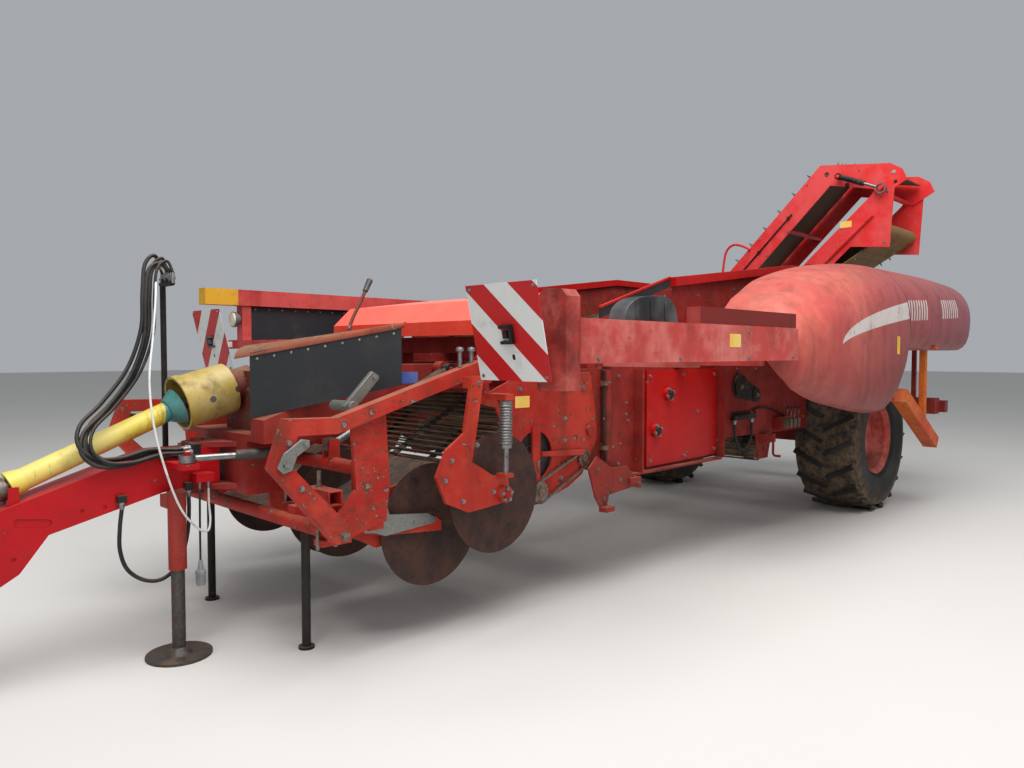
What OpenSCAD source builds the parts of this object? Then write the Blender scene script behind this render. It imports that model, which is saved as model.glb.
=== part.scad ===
// Trailed two-row potato harvester with a side discharge elevator.
// X runs to the rear, Y to the machine's right, Z up; the origin is on the ground
// under the middle of the machine. All sizes are in millimetres.

/* [Channel] */
// Inside width of the sieving channel
channel_w = 1760; // [1700:1:1800]
// Thickness of the channel's side plates
wall_t = 12; // [8:1:14]
// Height of the channel wall's lower edge
wall_low_z = 640; // [620:1:660]
// Place of the hinge shaft between channel and intake, along the machine
hinge_x = -1000; // [-1010:1:-990]
// Height of that hinge shaft
hinge_z = 950; // [940:1:960]
// Radius of the hinge stubs
hinge_r = 30; // [25:1:35]
// Rear end of the channel walls
wall_rear_x = 1960; // [1940:1:1970]

/* [Drawbar] */
// Place of the drawbar's vertical pivot
pivot_x = -2920; // [-2930:1:-2910]
// Radius of the pivot pin
pivot_r = 30; // [24:1:34]
// Width of the drawbar's box section
drawbar_w = 190; // [170:1:200]
// Front tip of the towing ring
front_x = -4350; // [-4370:1:-4330]
// Inner radius of the towing ring
ring_r = 25; // [20:1:30]
// Radius of the jack's inner tube
jack_r = 30; // [26:1:34]
// Radius of the jack's foot plate
jack_foot_r = 145; // [120:1:160]
// Radius of the drive shaft's yellow tube
pto_tube_r = 48; // [42:1:50]
// Slope of the drive shaft, in degrees
pto_slope = 23; // [22.5:0.5:23.5]

/* [Intake] */
// Radius of the cutting discs
disc_r = 300; // [280:1:310]
// Thickness of the cutting discs
disc_t = 6; // [5:1:8]
// Radius of the intake's cross tubes
tube_r = 33; // [28:1:36]
// Radius of the haulm wheels over the lugs
haulm_r = 270; // [260:1:275]
// Number of lugs on a haulm wheel
haulm_lugs = 24; // [18:1:28]
// Radius of the parking legs
leg_r = 21; // [18:1:24]

/* [Webs] */
// Radius of the web rods
rod_r = 6; // [5:0.5:7]
// Distance between web rods
rod_pitch = 50; // [46:1:60]
// Thickness of the web belts
belt_t = 8; // [6:1:10]
// Width of the web belts
belt_w = 60; // [50:1:70]

/* [Covers] */
// Distance from the middle plane to the outer face of covers and side beams
side_y = 1650; // [1630:1:1665]
// Wall thickness of the rounded covers
cover_t = 8; // [6:1:10]
// Height of the rounded covers
cover_top_z = 2130; // [2110:1:2150]

/* [Elevator] */
// Front face of the elevator's side plates
elev_x0 = 3100; // [3090:1:3110]
// Rear face of the elevator's side plates
elev_x1 = 3900; // [3890:1:3910]
// Thickness of the elevator's side plates
elev_t = 10; // [8:1:12]
// Depth of the elevator's arms
arm_depth = 230; // [210:1:250]
// Length of the end section's teeth
tine_l = 90; // [70:1:110]

/* [Running gear] */
// Place of the axle along the machine
axle_x = 2650; // [2640:1:2660]
// Radius of the tyres over the lugs
tyre_r = 640; // [630:1:650]
// Width of the tyres
tyre_w = 560; // [540:1:580]
// Distance from the middle plane to the middle of a tyre
track_y = 1010; // [1000:1:1020]
// Number of lugs on each side of a tyre's tread
tyre_lugs = 18; // [14:1:20]
// Rear face of the lamp bar
rear_x = 4350; // [4330:1:4370]

/* [Hidden] */

paint_red = [0.72, 0.13, 0.10];
bright_red = [0.85, 0.12, 0.07];
faded_red = [0.80, 0.33, 0.30];
steel = [0.55, 0.56, 0.57];
rust = [0.40, 0.24, 0.17];
black = [0.08, 0.08, 0.09];
yellow = [0.80, 0.66, 0.15];
teal = [0.13, 0.42, 0.38];

run_gap = 0.05;
part_gap = 0.3;
run_room = 40;
wall_in = channel_w / 2;
wall_out = wall_in + wall_t;
hex = 6;

// Boxes, rods and plates that the pieces are made of

module block(x, y, z) {
    translate([x[0], y[0], z[0]])
        cube([x[1] - x[0], y[1] - y[0], z[1] - z[0]]);
}

module bar_x(y, z, r, x) {
    translate([x[0], y, z])
        rotate([0, 90, 0])
            cylinder(r = r, h = x[1] - x[0], $fn = 48);
}

module bar_y(x, z, r, y) {
    translate([x, y[0], z])
        rotate([-90, 0, 0])
            cylinder(r = r, h = y[1] - y[0], $fn = 48);
}

module bar_z(x, y, r, z) {
    translate([x, y, z[0]])
        cylinder(r = r, h = z[1] - z[0], $fn = 48);
}

// A round bar from point a to point b
module strut(a, b, r) {
    d = b - a;
    l = norm(d);
    translate(a)
        rotate([0, acos(d[2] / l), atan2(d[1], d[0])])
            cylinder(r = r, h = l, $fn = 32);
}

// A plate drawn in X and Z, from y[0] to y[1]
module plate_xz(points, y) {
    translate([0, y[1], 0])
        rotate([90, 0, 0])
            linear_extrude(y[1] - y[0])
                polygon(points);
}

// A plate drawn in Y and Z, from x[0] to x[1]
module plate_yz(points, x) {
    translate([x[0], 0, 0])
        rotate([90, 0, 90])
            linear_extrude(x[1] - x[0])
                polygon(points);
}

// What it is given on the left side, and its mirror image on the right
module both_sides() {
    children();
    mirror([0, 1, 0])
        children();
}

// Only one side: the shapes are drawn for the left side, at negative Y
module on_side(side) {
    if (side < 0)
        children();
    else
        mirror([0, 1, 0])
            children();
}

// Webs: an endless loop round two rollers with centres a and b, in one plane

// The point at k round the loop: 0 to 1 top run, 1 to 2 round b, 2 to 3 lower run, 3 to 4 round a
function loop_at(a, b, r, sag, k) =
    let (d = b - a, l = norm(d), u = d / l, n = [-u[1], u[0]], q = k - floor(k))
    k < 1 ? a + u * l * q + n * r - [0, sag[0] * 4 * q * (1 - q)] :
    k < 2 ? b + n * r * cos(180 * q) + u * r * sin(180 * q) :
    k < 3 ? b - u * l * q - n * r - [0, sag[1] * 4 * q * (1 - q)] :
    a - n * r * cos(180 * q) - u * r * sin(180 * q);

function loop_length(a, b, r) = 2 * norm(b - a) + 2 * PI * r;

// The k that lies at the length s along the loop
function loop_k(a, b, r, s) =
    let (l = norm(b - a), h = PI * r)
    s < l ? s / l :
    s < l + h ? 1 + (s - l) / h :
    s < 2 * l + h ? 2 + (s - l - h) / l :
    3 + (s - 2 * l - h) / h;

// Outline of the loop at radius r, with straight runs in run_steps and ends in end_steps
function loop_outline(a, b, r, sag, run_steps, end_steps) = concat(
    [for (i = [0 : run_steps - 1]) loop_at(a, b, r, sag, i / run_steps)],
    [for (i = [0 : end_steps - 1]) loop_at(a, b, r, sag, 1 + i / end_steps)],
    [for (i = [0 : run_steps - 1]) loop_at(a, b, r, sag, 2 + i / run_steps)],
    [for (i = [0 : end_steps - 1]) loop_at(a, b, r, sag, 3 + i / end_steps)]);

// Belts and rods of a web whose loop is drawn in X and Z and runs across Y
module web(a, b, r, sag, half_w, belts_y) {
    rod_at = r + belt_t + rod_r * cos(180 / hex) + part_gap;
    for (y = belts_y)
        translate([0, y + belt_w / 2, 0])
            rotate([90, 0, 0])
                linear_extrude(belt_w)
                    difference() {
                        polygon(loop_outline(a, b, r + belt_t, sag, 24, 18));
                        polygon(loop_outline(a, b, r, sag, 24, 18));
                    }
    count = floor(loop_length(a, b, rod_at) / rod_pitch);
    step = loop_length(a, b, rod_at) / count;
    for (i = [0 : count - 1]) {
        k = loop_k(a, b, rod_at, i * step);
        p = loop_at(a, b, rod_at, sag, k);
        out = p - loop_at(a, b, r, sag, k);
        translate([p[0], -half_w, p[1]])
            rotate([-90, 0, 0])
                rotate([0, 0, 180 / hex - atan2(out[1], out[0])])
                    cylinder(r = rod_r, h = 2 * half_w, $fn = hex);
    }
}

// The two rollers that carry a web
module web_rollers(a, b, r, half_w) {
    for (p = [a, b])
        bar_y(p[0], p[1], r - part_gap, [-half_w, half_w]);
}

// Channel walls

wall_outline = [
    [-1060, 1000], [-1060, 880], [-880, wall_low_z], [450, wall_low_z + 20],
    [620, 780], [1080, 770], [1110, 570], [1270, 570], [1330, 765], [wall_rear_x, 760], [wall_rear_x, 1320], [2230, 1320], [2230, 2060],
    [1600, 2060], [-130, 1840], [-900, 1600], [-900, 1310], [-1060, 1310]
];
post_x = -850;
main_a = [-780, 790];
main_b = [1040, 950];
main_r = 100;
main_half = 850;
second_a = [1190, 650];
second_b = [2060, 1440];
second_r = 85;
haulm_a = [-520, 1500];
haulm_b = [1820, 1810];
haulm_roller_r = 80;

module side_walls() {
    color(paint_red)
        both_sides() {
            difference() {
                union() {
                    plate_xz(wall_outline, [-wall_out, -wall_in]);
                    block([-870, 450], [-wall_out - 60, -wall_out + 1], [wall_low_z + 2, wall_low_z + 14]);
                    bar_z(post_x, -wall_out - 30, 30, [760, 1300]);
                    block([post_x - 30, post_x + 30], [-wall_out - 30, -wall_out + 1], [1200, 1240]);
                    block([post_x - 30, post_x + 30], [-wall_out - 30, -wall_out + 1], [820, 860]);
                    for (x = [-540, 455])
                        plate_xz([[x, wall_low_z + 14], [x + 14, wall_low_z + 14], [x + 14, 1300], [x, 1300]],
                            [-wall_out - 70, -wall_out + 1]);
                    // stub of the intake hinge
                    bar_y(hinge_x, hinge_z, hinge_r, [-wall_out - 34, -wall_out + 1]);
                }
                // shaft holes of the webs
                for (p = [main_a, main_b, second_a, second_b, haulm_a, haulm_b])
                    bar_y(p[0], p[1], 22, [-wall_out - 100, -wall_in + 10]);
            }
        }
}

// Repainted plates with the shaft bearings of the main web
module bearing_plates() {
    color(bright_red)
        both_sides() {
            difference() {
                union() {
                    plate_xz([[-420, 670], [440, 680], [440, 1290], [-420, 1290]],
                        [-wall_out - 18, -wall_out - part_gap]);
                    for (p = [[-190, 1130], [-330, 900]])
                        bar_y(p[0], p[1], 45, [-wall_out - 44, -wall_out - 17]);
                }
                for (p = [[-190, 1130], [-330, 900]])
                    bar_y(p[0], p[1], 20, [-wall_out - 60, -wall_out - 30]);
            }
        }
}

// Front frame: cross beams, the two beams over the intake and the head with the pivot lugs

spine_y = [330, 455];
head_x = [-2800, -2600];
lug_t = 25;
drawbar_pivot_z = [765, 945];
cross_x = [-980, -860];
spine_z = [1200, 1340];
platform_z = 1010;

module front_frame() {
    color(paint_red)
        difference() {
            union() {
                block(cross_x, [-wall_in, wall_in], spine_z);
                block([-1400, -1300], [-side_y + 150, 1000], [1400, 1500]);
                both_sides() {
                    plate_xz([[cross_x[0] + 1, spine_z[0]], [cross_x[0] + 1, spine_z[1]], [-2050, spine_z[1]],
                        [-2800, 1090], [-2800, platform_z + 1], [-2480, platform_z + 1], [-1900, spine_z[0]]],
                        [-spine_y[1], -spine_y[0]]);
                    block([-1390, -1310], [-spine_y[1] + 20, -spine_y[0] - 20], [spine_z[1] - 1, 1401]);
                    // bosses and pins of the intake lift cylinders
                    bar_y(-1760, 1310, 45, [-lift_y + 29, -spine_y[1] + 1]);
                    bar_y(-1760, 1310, 16, [-lift_y - 32, -spine_y[1] + 1]);
                }
                block([-2800, -2450], [-spine_y[1], spine_y[1]], [platform_z - 30, platform_z + 2]);
                block(head_x, [-280, 280], [drawbar_pivot_z[0] - lug_t - 20, platform_z - 29]);
                // pivot lugs
                for (z = [drawbar_pivot_z[0] - part_gap - lug_t, drawbar_pivot_z[1] + part_gap])
                    translate([0, 0, z])
                        linear_extrude(lug_t)
                            polygon([[head_x[0] + 1, -180], [head_x[0] + 1, 180], [pivot_x - 20, 75],
                                [pivot_x - 60, 40], [pivot_x - 60, -40], [pivot_x - 20, -75]]);
                bar_z(pivot_x, 0, pivot_r, [drawbar_pivot_z[0] - lug_t - 25, drawbar_pivot_z[1] + lug_t + 15]);
                // ear of the steering cylinder
                block([-2660, -2580], [-450, -350], [platform_z - 52, platform_z - 29]);
                bar_z(steer_a[0], steer_a[1], 14, [900, platform_z - 51]);
            }
        }
}

// Gearbox on the platform and the yellow guard round its input

pto_joint = [-2920, 0, 1180];
drum_slope = 15;

module gearbox() {
    color(rust)
        union() {
            block([-2700, -2380], [-140, 140], [platform_z + 2 + part_gap, platform_z + 300]);
            bar_y(-2540, platform_z + 150, 90, [-230, 230]);
            translate(pto_joint)
                rotate([0, 90 - drum_slope, 0])
                    translate([0, 0, 155])
                        cylinder(r = 85, h = 140, $fn = 48);
        }
}

module drum_guard() {
    color(yellow)
        translate(pto_joint)
            rotate([0, 90 - drum_slope, 0])
                difference() {
                    union() {
                        translate([0, 0, -80])
                            cylinder(r = 128, h = 245, $fn = 64);
                        translate([0, 0, -90])
                            cylinder(r = 134, h = 30, $fn = 64);
                    }
                    translate([0, 0, -100])
                        cylinder(r = 122, h = 260, $fn = 64);
                    translate([0, 0, 150])
                        cylinder(r = 85 + part_gap, h = 30, $fn = 48);
                    for (a = [-35, 35])
                        rotate([0, 0, 90 + a])
                            translate([100, 0, 70])
                                rotate([0, 90, 0])
                                    cylinder(r = 17, h = 60, $fn = 32);
                }
}

// Side beam on the left and rail on the right

beam_z = [1355, 1550];
beam_x = [-1970, 120];

module left_beam() {
    color(faded_red)
        union() {
            block(beam_x, [-side_y, -side_y + 150], beam_z);
            block([-1000, 110], [-side_y + 10, -side_y + 90], [beam_z[1] - 1, beam_z[1] + 90]);
            plate_yz([[-side_y + 5, 1240], [-side_y + 170, 1240], [-side_y + 170, 1640],
                [-side_y + 130, 1680], [-side_y + 30, 1670], [-side_y + 5, 1640]], [-2060, beam_x[0] + 1]);
            // arms back to the wall
            for (x = [-850, -100])
                block([x, x + 80], [-side_y + 149, -wall_out - part_gap], [1320, 1400]);
        }
}

rail_y = [905, 1000];
rail_z = [1700, 1800];

module right_rail() {
    color(faded_red)
        union() {
            block([-2470, -150], rail_y, rail_z);
            block([-2230, -2170], [rail_y[0] + 10, rail_y[1] - 10], [1430, rail_z[0] + 1]);
            block([-2230, -2170], [spine_y[1] + part_gap, rail_y[1] - 10], [1430, 1480]);
            block([-2230, -2000], [rail_y[1] - 30, rail_y[1] - 10], [1430, 1490]);
            block([-2060, -2000], [rail_y[1] - 30, side_y - board_w / 2 + 40], [1430, 1490]);
            block([-2230, -2170], [spine_y[1] + part_gap, spine_y[1] + 60], [1300, 1431]);
            block([-1380, -1320], [rail_y[0] + 5, rail_y[1] - 5], [1500 + part_gap, rail_z[0] + 1]);
            block([-400, -340], [wall_out + part_gap, rail_y[1]], [1640, rail_z[0] + 1]);
        }
}

// Bright sheet cover over the intake's rear part
module intake_cover() {
    color(bright_red)
        difference() {
            plate_xz([[-1660, 1500 + part_gap], [-1660, 1580], [-1530, 1700], [-900, 1780], [-900, 1640],
                [-1100, 1500 + part_gap]], [-700, 760]);
            plate_xz([[-1654, 1490], [-1654, 1574], [-1524, 1692], [-890, 1774], [-890, 1630], [-1110, 1490]],
                [-694, 754]);
        }
}

// Rubber sheets with their riveted top strips
module rubber_guards() {
    color(black)
        union() {
            guard_sheet();
            block([-2160, -1420], [rail_y[0] + 30, rail_y[0] + 36], [1440, rail_z[0] - part_gap]);
            // strips that stand on the channel walls in front of the haulm web
            both_sides()
                plate_xz([[-880, 1606 + part_gap], [-140, 1837.2 + part_gap], [-140, 1890], [-880, 1664]],
                    [-wall_out, -wall_in - 4]);
        }
}

guard_a = [-2800, -330];
guard_b = [-2310, -850];

// The left sheet stands askew over the intake's front corner
module guard_sheet() {
    d = guard_b - guard_a;
    translate([guard_a[0], guard_a[1], 0])
        rotate([0, 0, atan2(d[1], d[0])]) {
            rotate([90, 0, 0])
                linear_extrude(8)
                    polygon([[0, 1091.9], [norm(d), 1250], [norm(d), 1530], [0, 1400]]);
            rotate([90, 0, 0])
                translate([0, 0, -14])
                    linear_extrude(15)
                        polygon([[0, 1385], [norm(d), 1515], [norm(d), 1535], [0, 1405]]);
        }
}

// Striped boards at the front corners
board_w = 423;
board_tilt = 13;

module warning_boards() {
    color("white")
        both_sides() {
            block([-2188, -2060 - part_gap], [-side_y + 130, -side_y + board_w / 2 + 20], [1440, 1480]);
            translate([-2150, -side_y + 5, 1280])
                rotate([0, -board_tilt, 0])
                    cube([4, board_w, board_w]);
        }
}

module sieve_webs() {
    color(rust) {
        web(main_a, main_b, main_r, [0, 130], main_half, [-780, 0, 780]);
        web_rollers(main_a, main_b, main_r, wall_in - part_gap);
        web(second_a, second_b, second_r, [0, 50], main_half, [-780, 0, 780]);
        web_rollers(second_a, second_b, second_r, wall_in - part_gap);
    }
}

module haulm_web() {
    color(rust) {
        web(haulm_a, haulm_b, haulm_roller_r, [90, 60], main_half, [-780, 780]);
        web_rollers(haulm_a, haulm_b, haulm_roller_r, wall_in - part_gap);
    }
}

// Rails along the top of the haulm web
module haulm_rails() {
    color(bright_red)
        both_sides() {
            plate_xz([[-130, 1840 + part_gap], [1600, 2060 + part_gap], [2230, 2060 + part_gap], [2230, 2115],
                [1590, 2115], [-130, 1900]],
                [-wall_out - 40, -wall_in + 30]);
        }
}

// Rear frame: beams over the axle, outriggers and the elevator's foot

boom_pivot = [1150, 1330];
frame_z = [780, 940];
frame_y = [430, 570];

module rear_frame() {
    color(paint_red)
        difference() {
            union() {
                block([1760, 1900], [-wall_in, wall_in], [770, 950]);
                both_sides()
                    block([1899, 4200], [-frame_y[1], -frame_y[0]], frame_z);
                block([3480, 3620], [-frame_y[0] - 1, frame_y[0] + 1], frame_z);
                block([4060, 4200], [-1300, 1300], frame_z);
                // outriggers and columns of the elevator's foot, over and behind the tyre
                block([elev_x0 - 90, elev_x0 - 30], [frame_y[0] + 10, 690], [frame_z[0] + 20, boom_pivot[1] - 9]);
                block([elev_x0 - 90, elev_x0 - 30], [frame_y[0] + 10, 1220], [boom_pivot[1] - 110, boom_pivot[1] - 10]);
                block([elev_x0 - 90, elev_x0 - 30], [1080, 1220], [boom_pivot[1] - 11, boom_pivot[1] + 70]);
                block([elev_x1 + 30, elev_x1 + 90], [frame_y[0] + 10, 1260], [frame_z[0] + 20, frame_z[1] - 20]);
                block([elev_x1 + 30, elev_x1 + 90], [1080, 1220], [frame_z[1] - 21, boom_pivot[1] + 70]);
                // shaft that the elevator turns on
                bar_x(boom_pivot[0], boom_pivot[1], 30, [elev_x0 - 95, elev_x1 + 95]);
                // lower eyes of the elevator's lift cylinders
                for (x = [elev_x0 - 60, elev_x1 + 60])
                    union() {
                        block([x - 30, x + 30], [60, 140], [frame_z[0] + 20, frame_z[1] + 20]);
                        block([x - 40, x + 40], [60, 140], [frame_z[1] - 60, frame_z[1] + 40]);
                        bar_x(100, 1050, 16, [x - 40, x + 40]);
                        block([x - 40, x - 28], [60, 140], [frame_z[1] + 39, 1085]);
                        block([x + 28, x + 40], [60, 140], [frame_z[1] + 39, 1085]);
                    }
                block([elev_x0 - 90, elev_x0 - 20], [-frame_y[0] - 1, frame_y[0] + 11], [frame_z[0] + 20, frame_z[1] - 20]);
                block([elev_x1 + 20, elev_x1 + 90], [-frame_y[0] - 1, frame_y[0] + 11], [frame_z[0] + 20, frame_z[1] - 20]);
            }
        }
}

// Rollers that move the crop sideways to the elevator
table_y = [-720, 1000];
table_z = 1450;
table_x = [2230 + part_gap, 2980];

module roller_table() {
    color(rust)
        union() {
            for (y = [table_y[0] : 145 : table_y[1]])
                bar_x(y, table_z, 55, [table_x[0] + 29, table_x[1] - 29]);
            for (x = [table_x[0], table_x[1] - 30])
                block([x, x + 30], [table_y[0] - 90, table_y[1] + 90], [table_z - 90, table_z + 120]);
        }
}

module axle() {
    color(paint_red)
        union() {
            block([axle_x - 70, axle_x + 70], [-track_y + 160, track_y - 160], [tyre_r - 70, tyre_r + 70]);
            both_sides() {
                block([axle_x - 90, axle_x + 90], [-frame_y[1] + 10, -frame_y[0] - 10], [tyre_r + 69, frame_z[0] - part_gap]);
                bar_y(axle_x, tyre_r, 42, [-track_y - 60, -track_y + 161]);
            }
        }
}

// Wheels

rim_r = 290;

module tyre(side) {
    on_side(side)
        color(black)
            translate([axle_x, -track_y, tyre_r])
                rotate([90, 0, 0])
                    union() {
                        rotate_extrude($fn = 72)
                            polygon([[rim_r + part_gap, -185], [rim_r + 60, -255], [tyre_r - 150, -tyre_w / 2],
                                [tyre_r - 60, -tyre_w / 2 + 20], [tyre_r - 34, -tyre_w / 2 + 80],
                                [tyre_r - 28, 0], [tyre_r - 34, tyre_w / 2 - 80],
                                [tyre_r - 60, tyre_w / 2 - 20], [tyre_r - 150, tyre_w / 2],
                                [rim_r + 60, 255], [rim_r + part_gap, 185]]);
                        intersection() {
                            union() {
                                for (i = [0 : tyre_lugs - 1])
                                    for (s = [-1, 1])
                                        rotate([0, 0, (i + (s > 0 ? 0.5 : 0)) * 360 / tyre_lugs])
                                            tyre_lug(s);
                            }
                            translate([0, 0, -tyre_w / 2])
                                cylinder(r = tyre_r, h = tyre_w, $fn = 120);
                        }
                    }
}

// One bar lug from near the middle of the tread to its shoulder
module tyre_lug(s) {
    translate([tyre_r - 50, 0, s * 10])
        rotate([s * 28, 0, 0])
            translate([0, -22, s > 0 ? 0 : -tyre_w / 2 + 10])
                linear_extrude(tyre_w / 2 - 10)
                    polygon([[0, 0], [52, 7], [52, 37], [0, 44]]);
}

module rim(side) {
    on_side(side)
        color(faded_red)
            translate([axle_x, -track_y, tyre_r])
                rotate([90, 0, 0])
                    rotate_extrude($fn = 72)
                        polygon([[42 + run_gap, -60], [120, -60], [120, 30], [220, 60], [rim_r - 14, 60],
                            [rim_r - 14, -200], [rim_r + 25, -235], [rim_r + 25, -225], [rim_r, -190], [rim_r, 190],
                            [rim_r + 25, 225], [rim_r + 25, 235], [rim_r - 14, 200], [rim_r - 14, 80],
                            [215, 80], [110, 50], [90, 100], [42 + run_gap, 100]]);
}

module tyre_left() {
    tyre(-1);
}

module tyre_right() {
    tyre(1);
}

module rim_left() {
    rim(-1);
}

module rim_right() {
    rim(1);
}

// Rounded side covers, as a loft of few sections along the machine

// Columns: x, lower edge, top edge, how far the outer face lies inside side_y
cover_sections = [
    [100, 1380, 1620, 190], [160, 1220, 1790, 90], [300, 1110, 1920, 35], [600, 1020, 2030, 5],
    [950, 975, 2080, 0], [1300, 1000, 2105, 0], [1750, 1180, 2130, 0], [2240, 1425, 2130, 0],
    [3200, 1425, 2130, 0], [3900, 1430, 2110, 10], [4000, 1450, 2080, 40]
];
cover_steps = 12;
cover_in_y = 1090;

// Outline of one section from its lower edge to its inner top edge; inset moves it inwards
function cover_line(row, inset) =
    let (z0 = row[1], z1 = row[2] + cover_top_z - 2130 - inset, y0 = -side_y + row[3] + inset,
        y1 = -cover_in_y, h = min(420, (z1 - z0) * 0.6))
    concat(
        [[row[0], y0 + 40, z0], [row[0], y0, z0 + 90]],
        [for (i = [0 : cover_steps])
            let (t = 90 * i / cover_steps)
            [row[0], y1 + (y0 - y1) * pow(cos(t), 0.75), z1 - h + h * pow(sin(t), 0.85)]]);

function cover_grid(inset) = [for (row = cover_sections) cover_line(row, inset)];

// A closed skin between two grids of the same size
module skin(outer, inner) {
    rows = len(outer);
    cols = len(outer[0]);
    n = rows * cols;
    points = concat([for (r = outer) each r], [for (r = inner) each r]);
    faces = concat(
        [for (i = [0 : rows - 2], j = [0 : cols - 2])
            [i * cols + j, (i + 1) * cols + j, (i + 1) * cols + j + 1]],
        [for (i = [0 : rows - 2], j = [0 : cols - 2])
            [i * cols + j, (i + 1) * cols + j + 1, i * cols + j + 1]],
        [for (i = [0 : rows - 2], j = [0 : cols - 2])
            [n + i * cols + j, n + (i + 1) * cols + j + 1, n + (i + 1) * cols + j]],
        [for (i = [0 : rows - 2], j = [0 : cols - 2])
            [n + i * cols + j, n + i * cols + j + 1, n + (i + 1) * cols + j + 1]],
        [for (i = [0 : rows - 2])
            [i * cols, n + i * cols, n + (i + 1) * cols, (i + 1) * cols]],
        [for (i = [0 : rows - 2])
            [i * cols + cols - 1, (i + 1) * cols + cols - 1, n + (i + 1) * cols + cols - 1, n + i * cols + cols - 1]],
        [for (j = [0 : cols - 2])
            [j, j + 1, n + j + 1, n + j]],
        [for (j = [0 : cols - 2])
            [(rows - 1) * cols + j, n + (rows - 1) * cols + j, n + (rows - 1) * cols + j + 1,
                (rows - 1) * cols + j + 1]]);
    polyhedron(points, faces);
}

module covers() {
    color(faded_red)
        both_sides()
            skin(cover_grid(0), cover_grid(cover_t));
}

// Rear guard of bars and the lamp bar
module rear_guard() {
    color(paint_red)
        union() {
            block([4200 + part_gap, 4260], [-1350, 1350], [800, 900]);
            // brackets of the covers
            both_sides() {
                block([1500, 1540], [-cover_in_y - 20, -wall_out - part_gap], [1900, 1940]);
                block([1500, 1540], [-cover_in_y - 20, -cover_in_y + 20], [1939, 2104]);
                block([4062, 4100], [-cover_in_y - 20, -cover_in_y + 20], [frame_z[1] + part_gap, 2041]);
                block([3930, 4100], [-cover_in_y - 20, -cover_in_y + 20], [2040, 2071]);
            }
            block([2900, 2940], [-cover_in_y - 20, -cover_in_y + 20], [1600, 2118]);
            block([2900, 4070], [-cover_in_y - 20, -cover_in_y + 20], [1560, 1601]);
        }
}

module lamps() {
    color(black)
        both_sides()
            union() {
                block([4260 + part_gap, rear_x], [-1340, -1000], [790, 910]);
            }
}

// Drawbar

drawbar_outline = [
    [-2850, drawbar_pivot_z[0]], [-3010, drawbar_pivot_z[0]], [-3122, 752], [-3592, 632], [-3702, 487], [-3800, 430], [-4060, 375],
    [-4060, 545], [-3900, 690], [-3764, 757], [-3299, 904], [-3150, drawbar_pivot_z[1]],
    [-2850, drawbar_pivot_z[1]]
];
// A shallow slot with round ends in the drawbar's side, from a to b in X and Z
module slot_cut(a, b, w) {
    translate([0, 6, 0])
        rotate([90, 0, 0])
            linear_extrude(12)
                hull() {
                    translate(a)
                        circle(d = w, $fn = 24);
                    translate(b)
                        circle(d = w, $fn = 24);
                }
}

ring_z = 460;
jack_at = [-3090, -175];
jack_top_z = 760;

module drawbar() {
    color(bright_red)
        difference() {
            union() {
                plate_xz(drawbar_outline, [-drawbar_w / 2, drawbar_w / 2]);
                block([-4080, -4059], [-100, 100], [350, 570]);
                // arm of the steering cylinder
                block([-3130, -3050], [-340, -drawbar_w / 2 + 1], [steer_z - 48, steer_z - 22]);
                bar_z(steer_b[0], steer_b[1], 14, [steer_z - 23, steer_z + 30]);
                // cradle of the drive shaft
                block([-3730, -3690], [-70, 70], [740, 845]);
                // blocks that the hose and the cables go into
                block([hose_end[0], hose_end[0] + 34], [hose_end[1] - 22, -drawbar_w / 2 + 1],
                    [hose_end[2] - 20, hose_end[2] + 20]);
                block([-2992, -2905], [-165, -drawbar_w / 2 + 1], [cable_end_z, cable_end_z + 40]);
            }
            for (y = [-drawbar_w / 2, drawbar_w / 2]) {
                translate([0, y, 0])
                    slot_cut([-3700, 698], [-3598, 682], 38);
                for (h = [[-3720, 551], [-3463, 716], [-3371, 720]])
                    bar_y(h[0], h[1], 9, [y - 6, y + 6]);
            }
            at_pto()
                cylinder(r = cone_r + part_gap, h = pto_len + pto_end + run_room, $fn = 48);
            bar_z(pivot_x, 0, pivot_r + run_gap, [drawbar_pivot_z[0] - 10, drawbar_pivot_z[1] + 10]);
        }
}

module hitch_ring() {
    color(rust)
        difference() {
            union() {
                block([-4100, -4080 - part_gap], [-80, 80], [370, 550]);
                block([-4290, -4099], [-30, 30], [ring_z - 20, ring_z + 20]);
                translate([front_x + 60, 0, ring_z - 20])
                    cylinder(r = 60, h = 40, $fn = 64);
            }
            translate([front_x + 60, 0, ring_z - 30])
                cylinder(r = ring_r, h = 60, $fn = 64);
        }
}

module hose_holder() {
    color(black)
        union() {
            bar_z(-3000, 180, 14, [drawbar_pivot_z[1] - 40, 1740]);
            block([-3014, -2986], [drawbar_w / 2 + part_gap, 181], [drawbar_pivot_z[1] - 60, drawbar_pivot_z[1] - 30]);
            bar_y(-3000, 1740, 14, [60, 194]);
            // sockets of the parked hose and cable
            for (y = [100, 150])
                bar_z(-3000, y, 17, [1740, socket_z]);
        }
}

module jack_sleeve() {
    color(paint_red)
        difference() {
            union() {
                bar_z(jack_at[0], jack_at[1], jack_r + 10, [405, jack_top_z]);
                block([jack_at[0] - 45, jack_at[0] + 45], [jack_at[1], -drawbar_w / 2 - part_gap], [690, 748]);
            }
            bar_z(jack_at[0], jack_at[1], jack_r + run_gap, [400, jack_top_z - 12]);
        }
}

module jack_leg() {
    color(steel)
        union() {
            bar_z(jack_at[0], jack_at[1], jack_r, [10, 495]);
            bar_z(jack_at[0], jack_at[1], jack_foot_r, [0, 12]);
            translate([jack_at[0], jack_at[1], 11])
                cylinder(r1 = 60, r2 = jack_r, h = 30, $fn = 48);
        }
}

// Hose and cables: tubes swept along hand-placed points, all on the drawbar

hose_r = 12;
white_r = 5;
lamp_r = 5;
hose_end = [-3010, -118, 925];
cable_end_z = 790;
socket_z = 1764;
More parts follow.
